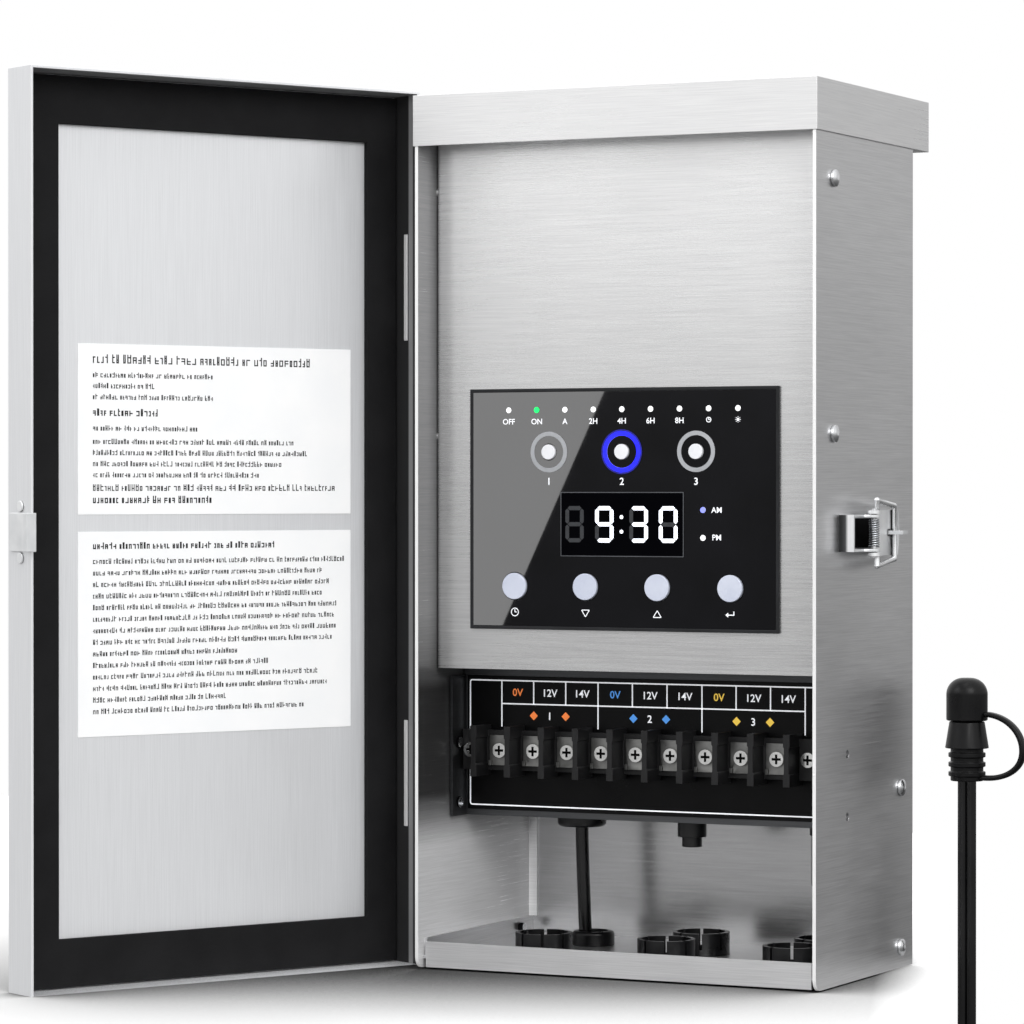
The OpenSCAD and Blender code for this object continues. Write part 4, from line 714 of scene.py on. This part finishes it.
# The door
# A deep tray of stainless sheet, brushed upwards, hangs open at the left. A black foam gasket runs around its rim,
# and two white printed sheets are stuck inside it.
door_hinge = next(j for j in frame["joints"] if j["name"] == "door_hinge")
DOOR_OPEN = math.radians(door_hinge["range_deg"][1])
HINGE = Vector(door_hinge["pos_m"])
opened = Matrix.Translation(HINGE) @ Matrix.Rotation(-DOOR_OPEN, 4, "Z") @ Matrix.Translation(-HINGE)
shut = opened.inverted()
door_steel = brushed("Stainless brushed up the door", "#dcdddf", "#ebecee", (0.3, 0.3, 30), 0.36, bump=0.1, metal=0.42)
door_shell = eased("door_shell", 0.3, door_steel)
# The foam is the dullest black on the object, and the labels' film a plain bright white.
gasket_foam = moulded("Closed-cell gasket foam", "#19191a", "#202021", 0.8, 0.8, 0.4, shine=0.1)
eased("door_gasket", 0.4, gasket_foam)
label_paper = moulded("White label film", "#fafbfc", "#ffffff", 0.45, 0.5, 0.04)
eased("door_labels", 0.04, label_paper)
RIM_INSIDE, GASKET_FACE, RIM_FACE = -92.45, -1.7, 13


def rim_painted_tone(name, stops):
    """Steel inside the door's rim, with its reflection of the black foam and its shade painted into the tone. stops
    give (share of the rim's depth, code).
    """
    mat, surface, place = blank(name)
    depth = add(mat, "VectorMath", {0: place, 1: shut[1][:3]}, operation="DOT_PRODUCT")
    low, high = (at(0, y, 0).y - shut[1][3] for y in (GASKET_FACE, RIM_FACE))
    share = add(mat, "MapRange", {"Value": depth.outputs["Value"], "From Min": low, "From Max": high})
    tone = add(mat, "ValToRGB", {"Fac": share.outputs["Result"]}, [(deep, linear(code)) for deep, code in stops])
    wire(mat, surface, {"Metallic": 0.3, "Base Color": tone.outputs["Color"], "Roughness": 0.4,
                        "Specular IOR Level": 0.1})
    return mat


# The hinge rim is painted dark as a reflection of the foam, with a band of painted highlight partway along its depth;
# the upper rim is painted a darker grey as shade.
side_rim = rim_painted_tone("Stainless inside the door's hinge rim", [
    (0, "#3a3a3b"), (0.55, "#3a3a3b"), (0.59, "#a8a8a9"), (0.76, "#a0a0a1"), (0.8, "#404041")])
top_rim = rim_painted_tone("Stainless inside the door's upper rim with painted shade", [(0, "#959596"), (1, "#8a8a8b")])
finished(door_shell, side_rim, lambda c, n: (shut.to_3x3() @ n).x > 0.9 and (shut @ c).x < (RIM_INSIDE + 0.5) * MM)
finished(door_shell, top_rim, lambda c, n: n.z < -0.9 and c.z > CASE_HIGH.z)

sheet_spots = [shut @ v.co for v in frame["nodes"]["door_labels"].data.vertices]
sheet_front = (max(v.y for v in sheet_spots) - CASE_LOW.y) / MM
sheet_left = max(v.x for v in sheet_spots) / MM
sheet_top = (max(v.z for v in sheet_spots) - CASE_LOW.z) / MM
dice = random.Random(7)


def printed_row(left, z, width, height, pen):
    """One row of small print that says nothing: words of stems and bars, from left towards the hinge."""
    shapes, x = [], 0
    while x < width:
        for _ in range(dice.choice((2, 3, 4, 5, 6, 7, 9))):
            w = height * dice.choice((0.45, 0.6, 0.7))
            tall = height * dice.choice((1, 1, 1.35))
            stems = dice.choice(((0,), (0, 1), (0, 1), (1,)))
            for side in stems:
                a = left - x - side * (w - pen)
                shapes.append(bar(a - pen, z, a, z + tall))
            for level in dice.sample((0, 0.5, 1), dice.choice((1, 2))):
                foot = z + level * (height - pen)
                shapes.append(bar(left - x - w, foot, left - x, foot + pen))
            x += w + height * 0.28
        x += height * 0.5
    return shapes


# Each row is its depth below the upper sheet's edge, its length, the height of its letters and its pen.
FINE, BOLD, THIN, THICK = 1.6, 2.2, 0.37, 0.5
SHEET_MARGIN, LOWER_ROW, ROW_STEP = 7, 89.2, 4.68
rows = [(7.8, 92, BOLD * 1.2, THICK), (13.6, 54, FINE, THIN), (18, 28, FINE, THIN), (22.5, 58, FINE, THIN),
        (29.2, 23, BOLD, THICK), (35.2, 48, FINE, THIN), (40.6, 96, FINE, THIN), (45.1, 93, FINE, THIN),
        (49.6, 86, FINE, THIN), (54.1, 77, FINE, THIN), (59.6, 112, BOLD * 0.9, 0.42), (64.6, 52, BOLD, THICK),
        (83.2, 80, BOLD * 0.9, THICK)]
rows += [(LOWER_ROW + ROW_STEP * i, width, FINE, THIN)
         for i, width in enumerate((116, 110, 112, 108, 114, 111, 115, 116, 62, 82, 106, 113, 62, 100))]
door_print = []
for depth, width, height, thick in rows:
    door_print += printed_row(sheet_left - SHEET_MARGIN, sheet_top - depth, width, height, thick)
ink_black = moulded("Black printing ink", "#1b1b1d", "#242427", 0.5, 0.4, 0.04)
plates("door_words", door_print, sheet_front, "door", ink_black, -PRINT, opened)


def slabs(name, middles, size, edge, turn=None):
    """Blocks of one size in metres in one piece, with their edges broken by that many millimetres."""
    bm = bmesh.new()
    for middle in middles:
        bmesh.ops.create_cube(bm, size=1, matrix=Matrix.Translation(middle) @ Matrix.Diagonal((*size, 1)))
    bmesh.ops.bevel(bm, geom=bm.edges[:], offset=edge * MM, segments=2, affect="EDGES")
    return formed(name, bm, turn)


# Each door leaf has a lip inside the door's rim, painted bright as a highlight.
LEAF_TALL, LIP_Y = 46, 5.2
LIP_SIZE = Vector((0.7, 2.2, 45)) * MM
LEAVES_LOW, LEAVES_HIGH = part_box("hinge_case_leaves")
lip_zs = ((LEAVES_LOW.z - CASE_LOW.z) / MM + LEAF_TALL / 2, (LEAVES_HIGH.z - CASE_LOW.z) / MM - LEAF_TALL / 2)
lip_middles = [at(RIM_INSIDE + LIP_SIZE.x / MM / 2, LIP_Y, z) for z in lip_zs]
keep(slabs("hinge_lips", lip_middles, LIP_SIZE, 0.15, opened), "door", cut_edge_highlight)

# The latch
# A sprung draw latch of bright steel stands on the right wall: a cupped base with a coil spring on its pin, a lever
# with a slot for the padlock staple, and a wire bail that catches the strike riveted to the door's edge.
latch_steel = plated("Satin latch plating", "#dcdee0", "#f2f3f4", 0.3, 12, hollow=1, metal=0.7)
latch_shade = moulded("Latch cup and its shadow painted black", "#050506", "#0a0a0b", 0.6, 1, 0.05, shine=0.05)
BASE_LOW, BASE_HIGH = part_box("latch_base")
# The cup's front is painted: bright as a highlight where it stands out, and dark as shade near the wall.
cup_front_paint, surface, place = blank("Latch cup front painted with shade and a highlight")
out_from_wall = add(cup_front_paint, "SeparateXYZ", {"Vector": place}).outputs["X"]
shade_to_highlight = add(cup_front_paint, "MapRange", {"Value": out_from_wall, "From Min": CASE_HIGH.x, "From Max": BASE_HIGH.x})
painted_tone = add(cup_front_paint, "ValToRGB", {"Fac": shade_to_highlight.outputs["Result"]},
               [(0.1, linear("#2a2b2c")), (0.24, linear("#4c4d4f")), (0.34, linear("#f4f5f6"))])
wire(cup_front_paint, surface, {"Metallic": 0.5, "Base Color": painted_tone.outputs["Color"], "Roughness": 0.3})
eased("strike_plate", 0.25, latch_steel, 30)
CUP_WALL, CUP_FACE = 2 * MM, 1 * MM
# The floor of the cup and the inside of its front wall are painted black as shade.
latch_base = finished(
    eased("latch_base", 0.15, latch_steel, 30), latch_shade,
    lambda c, n: n.x > 0.9 and c.x < CASE_HIGH.x + CUP_WALL or n.y > 0.9 and c.y < BASE_LOW.y + CUP_WALL)
finished(latch_base, cup_front_paint, lambda c, n: n.y < -0.9 and c.y < BASE_LOW.y + CUP_FACE)
# A thin black slab on the wall under the lever is painted shadow, where the cup shades the wall.
shadow_low, shadow_high = at(90.42, 39, 176.6), at(90.75, 62, 188.6)
keep(slabs("latch_shadow_slab", [(shadow_low + shadow_high) / 2], shadow_high - shadow_low, 0.1), "case", latch_shade)
lever_plating = plated("Satin lever plating", "#e6e7e9", "#f6f7f8", 0.3, 14, hollow=1.6, metal=0.6)
eased("latch_lever", 0.2, lever_plating, 30)
bail_wire = plated("Bail wire", "#e4e6e8", "#f8f9fa", 0.18, 10, hollow=2, metal=0.9)
eased("latch_bail", 0, bail_wire, 40)
spring_wire = plated("Spring wire", "#b0b2b5", "#cdd0d3", 0.2, 6, hollow=0.6)
eased("latch_spring", 0, spring_wire, 40)

# The hanging hardware
# A folded hanger of galvanised steel, riveted to the back wall, hooks over a bracket on the wall. Two rubber bumpers
# keep the foot off it.
eased("case_hanger", 0.2, zinc)
eased("wall_bracket", 0.2, zinc)
eased("wall_bumpers", 0.5, boot_rubber)

# The studio
# A pale paper floor lies just under the box and stops beside the sensor's lead. Its right edge runs towards the
# camera. Soft lamps stand at the right front and above, in a white room that is darker behind and low down.
scene = bpy.context.scene
scene.view_settings.view_transform = "Standard"
FLOOR_LEFT, FLOOR_FRONT, FLOOR_BACK, FLOOR_DROP, LEAD_GAP = -1.3, -1.1, 0.6, 0.0006, 0.0085
FADE_FROM, FADE_TO, FADE_SHARE, EDGE_FADE = 0.3, 0.6, 0.5, 0.03
floor_z = CASE_LOW.z - FLOOR_DROP
beside = Vector((lead_rise[0].x - LEAD_GAP, lead_rise[0].y, 0))
sight = camera.location - beside
outward = Vector((-sight.y, sight.x, 0)).normalized()
edge_at = beside.dot(outward)


def greys(*stops):
    """Stops of a ramp from (place, level) pairs."""
    return [(place, (level, level, level, 1)) for place, level in stops]


# The paper's shadow near the box is painted from ambient occlusion, and the paper glows to white far off and beside the
# lead.
floor_white, surface, place = blank("White floor paper")
floor_seen = add(floor_white, "LightPath").outputs["Is Camera Ray"]
centred = add(floor_white, "Mapping", {"Vector": place, "Location": (0, 0.07, 0), "Scale": (1, 1, 0)})
far = add(floor_white, "VectorMath", {"Vector": centred.outputs["Vector"]}, operation="LENGTH")
far_share = add(floor_white, "MapRange", {"Value": far.outputs["Value"], "From Min": FADE_FROM, "From Max": FADE_TO,
                                          "To Min": 0, "To Max": FADE_SHARE}).outputs["Result"]
across = add(floor_white, "VectorMath", {0: place, 1: outward}, operation="DOT_PRODUCT").outputs["Value"]
right_share = add(floor_white, "MapRange", {"Value": across, "From Min": edge_at - EDGE_FADE, "From Max": edge_at,
                                            "To Min": 0, "To Max": 1}).outputs["Result"]
white_share = add(floor_white, "Math", {0: far_share, 1: right_share}, operation="MAXIMUM").outputs["Value"]
floor_lift = add(floor_white, "Math", {0: white_share, 1: floor_seen}, operation="MULTIPLY").outputs["Value"]
open_air = add(floor_white, "AmbientOcclusion", {"Distance": 0.2}, samples=16).outputs["AO"]
shadow = add(floor_white, "ValToRGB", {"Fac": open_air}, greys((0.4, 0.04), (0.55, 0.22), (0.75, 0.5), (1, 0.8)))
floor_tone = add(floor_white, "MixRGB", {"Fac": floor_seen, "Color1": (0.35, 0.35, 0.35, 1),
                                         "Color2": shadow.outputs["Color"]}).outputs["Color"]
wire(floor_white, surface, {"Base Color": floor_tone, "Roughness": 0.95, "Specular IOR Level": 0,
                            "Emission Color": (1, 1, 1, 1), "Emission Strength": floor_lift})
right_front = beside.x + sight.x * (FLOOR_FRONT - beside.y) / sight.y
right_back = beside.x + sight.x * (FLOOR_BACK - beside.y) / sight.y
bm = bmesh.new()
bm.faces.new([bm.verts.new((x, y, floor_z)) for x, y in (
    (FLOOR_LEFT, FLOOR_FRONT), (right_front, FLOOR_FRONT), (right_back, FLOOR_BACK), (FLOOR_LEFT, FLOOR_BACK))])
floor = formed("floor", bm)
scene.collection.objects.link(floor)
floor.data.materials.append(floor_white)

# The room's walls darken towards the back right, which gives the steel its grey, and the camera sees plain white.
DARK_WAY = (0.36, 0.93, 0)
WALLS = greys((0.0, 1), (0.6, 1), (0.74, 0.92), (0.9, 0.78), (1.0, 0.42))
RISE = greys((0.0, 0.12), (0.36, 0.16), (0.45, 0.36), (0.49, 0.62), (0.53, 1.05), (0.58, 1.25))
world = bpy.data.worlds.new("White room")
scene.world = world
world.use_nodes = True
way = add(world, "TexCoord").outputs["Generated"]
behind = add(world, "VectorMath", {0: way, 1: DARK_WAY}, operation="DOT_PRODUCT").outputs["Value"]
height = add(world, "SeparateXYZ", {"Vector": way}).outputs["Z"]


def wall_grey(value, stops):
    """The grey of the room where value, from -1 to 1, has the stops."""
    share = add(world, "MapRange", {"Value": value, "From Min": -1, "From Max": 1}).outputs["Result"]
    return add(world, "ValToRGB", {"Fac": share}, stops).outputs["Color"]


room = add(world, "MixRGB", {"Fac": 1.0, "Color1": wall_grey(behind, WALLS), "Color2": wall_grey(height, RISE)},
           blend_type="MULTIPLY").outputs["Color"]
seen = add(world, "LightPath").outputs["Is Camera Ray"]
shown = add(world, "MixRGB", {"Fac": seen, "Color1": room, "Color2": (1, 1, 1, 1)}).outputs["Color"]
wire(world, world.node_tree.nodes["Background"], {"Color": shown})


def lamp(name, place, aim, width, height, power):
    """A soft rectangular lamp that stands at place and looks at aim."""
    light = bpy.data.lights.new(name, "AREA")
    light.shape = "RECTANGLE"
    light.size = width
    light.size_y = height
    light.energy = power
    item = bpy.data.objects.new(name, light)
    look = (Vector(aim) - Vector(place)).to_track_quat("-Z", "Y").to_matrix().to_4x4()
    item.matrix_world = Matrix.Translation(place) @ look
    item.visible_camera = False
    scene.collection.objects.link(item)
    return item


MIDDLE = (0, -0.07, -0.12)
lamp("right_front_lamp", (1.35, -1.35, 0.9), MIDDLE, 1.0, 1.0, 16)
lamp("top_lamp", (-0.2, -0.5, 1.7), MIDDLE, 1.2, 1.2, 7)

# A lamp behind a slanted screen shows in the panel's glass and nowhere else, left of a line that crosses the glass.
SCREEN_REACH, SCREEN_W, SCREEN_H, SCREEN_POWER = 1.45, 0.5, 1.2, 36
LINE_TOP, LINE_LOW = (-9.4, 240.9), (-55.3, 145.9)
glass_y = GLASS_LOW.y
mirrored = Vector((camera.location.x, 2 * glass_y - camera.location.y, camera.location.z))
edge_top, edge_low = (mirrored + (at(x, GLASS_FRONT, z) - mirrored) * SCREEN_REACH for x, z in (LINE_TOP, LINE_LOW))
up = (edge_top - edge_low).normalized()
side = Vector((up.z, 0, -up.x))
screen_middle = (edge_top + edge_low) / 2 - side * SCREEN_W / 2
screen = lamp("screen_lamp", screen_middle, screen_middle + Vector((0, 1, 0)), SCREEN_W, SCREEN_H, SCREEN_POWER)
screen.matrix_world = Matrix.Translation(screen_middle) @ Matrix((side, up, (0, -1, 0))).transposed().to_4x4()
glass_only = bpy.data.collections.new("glass_only")
for piece in (control_panel, display_window):
    glass_only.objects.link(piece)
screen.light_linking.receiver_collection = glass_only
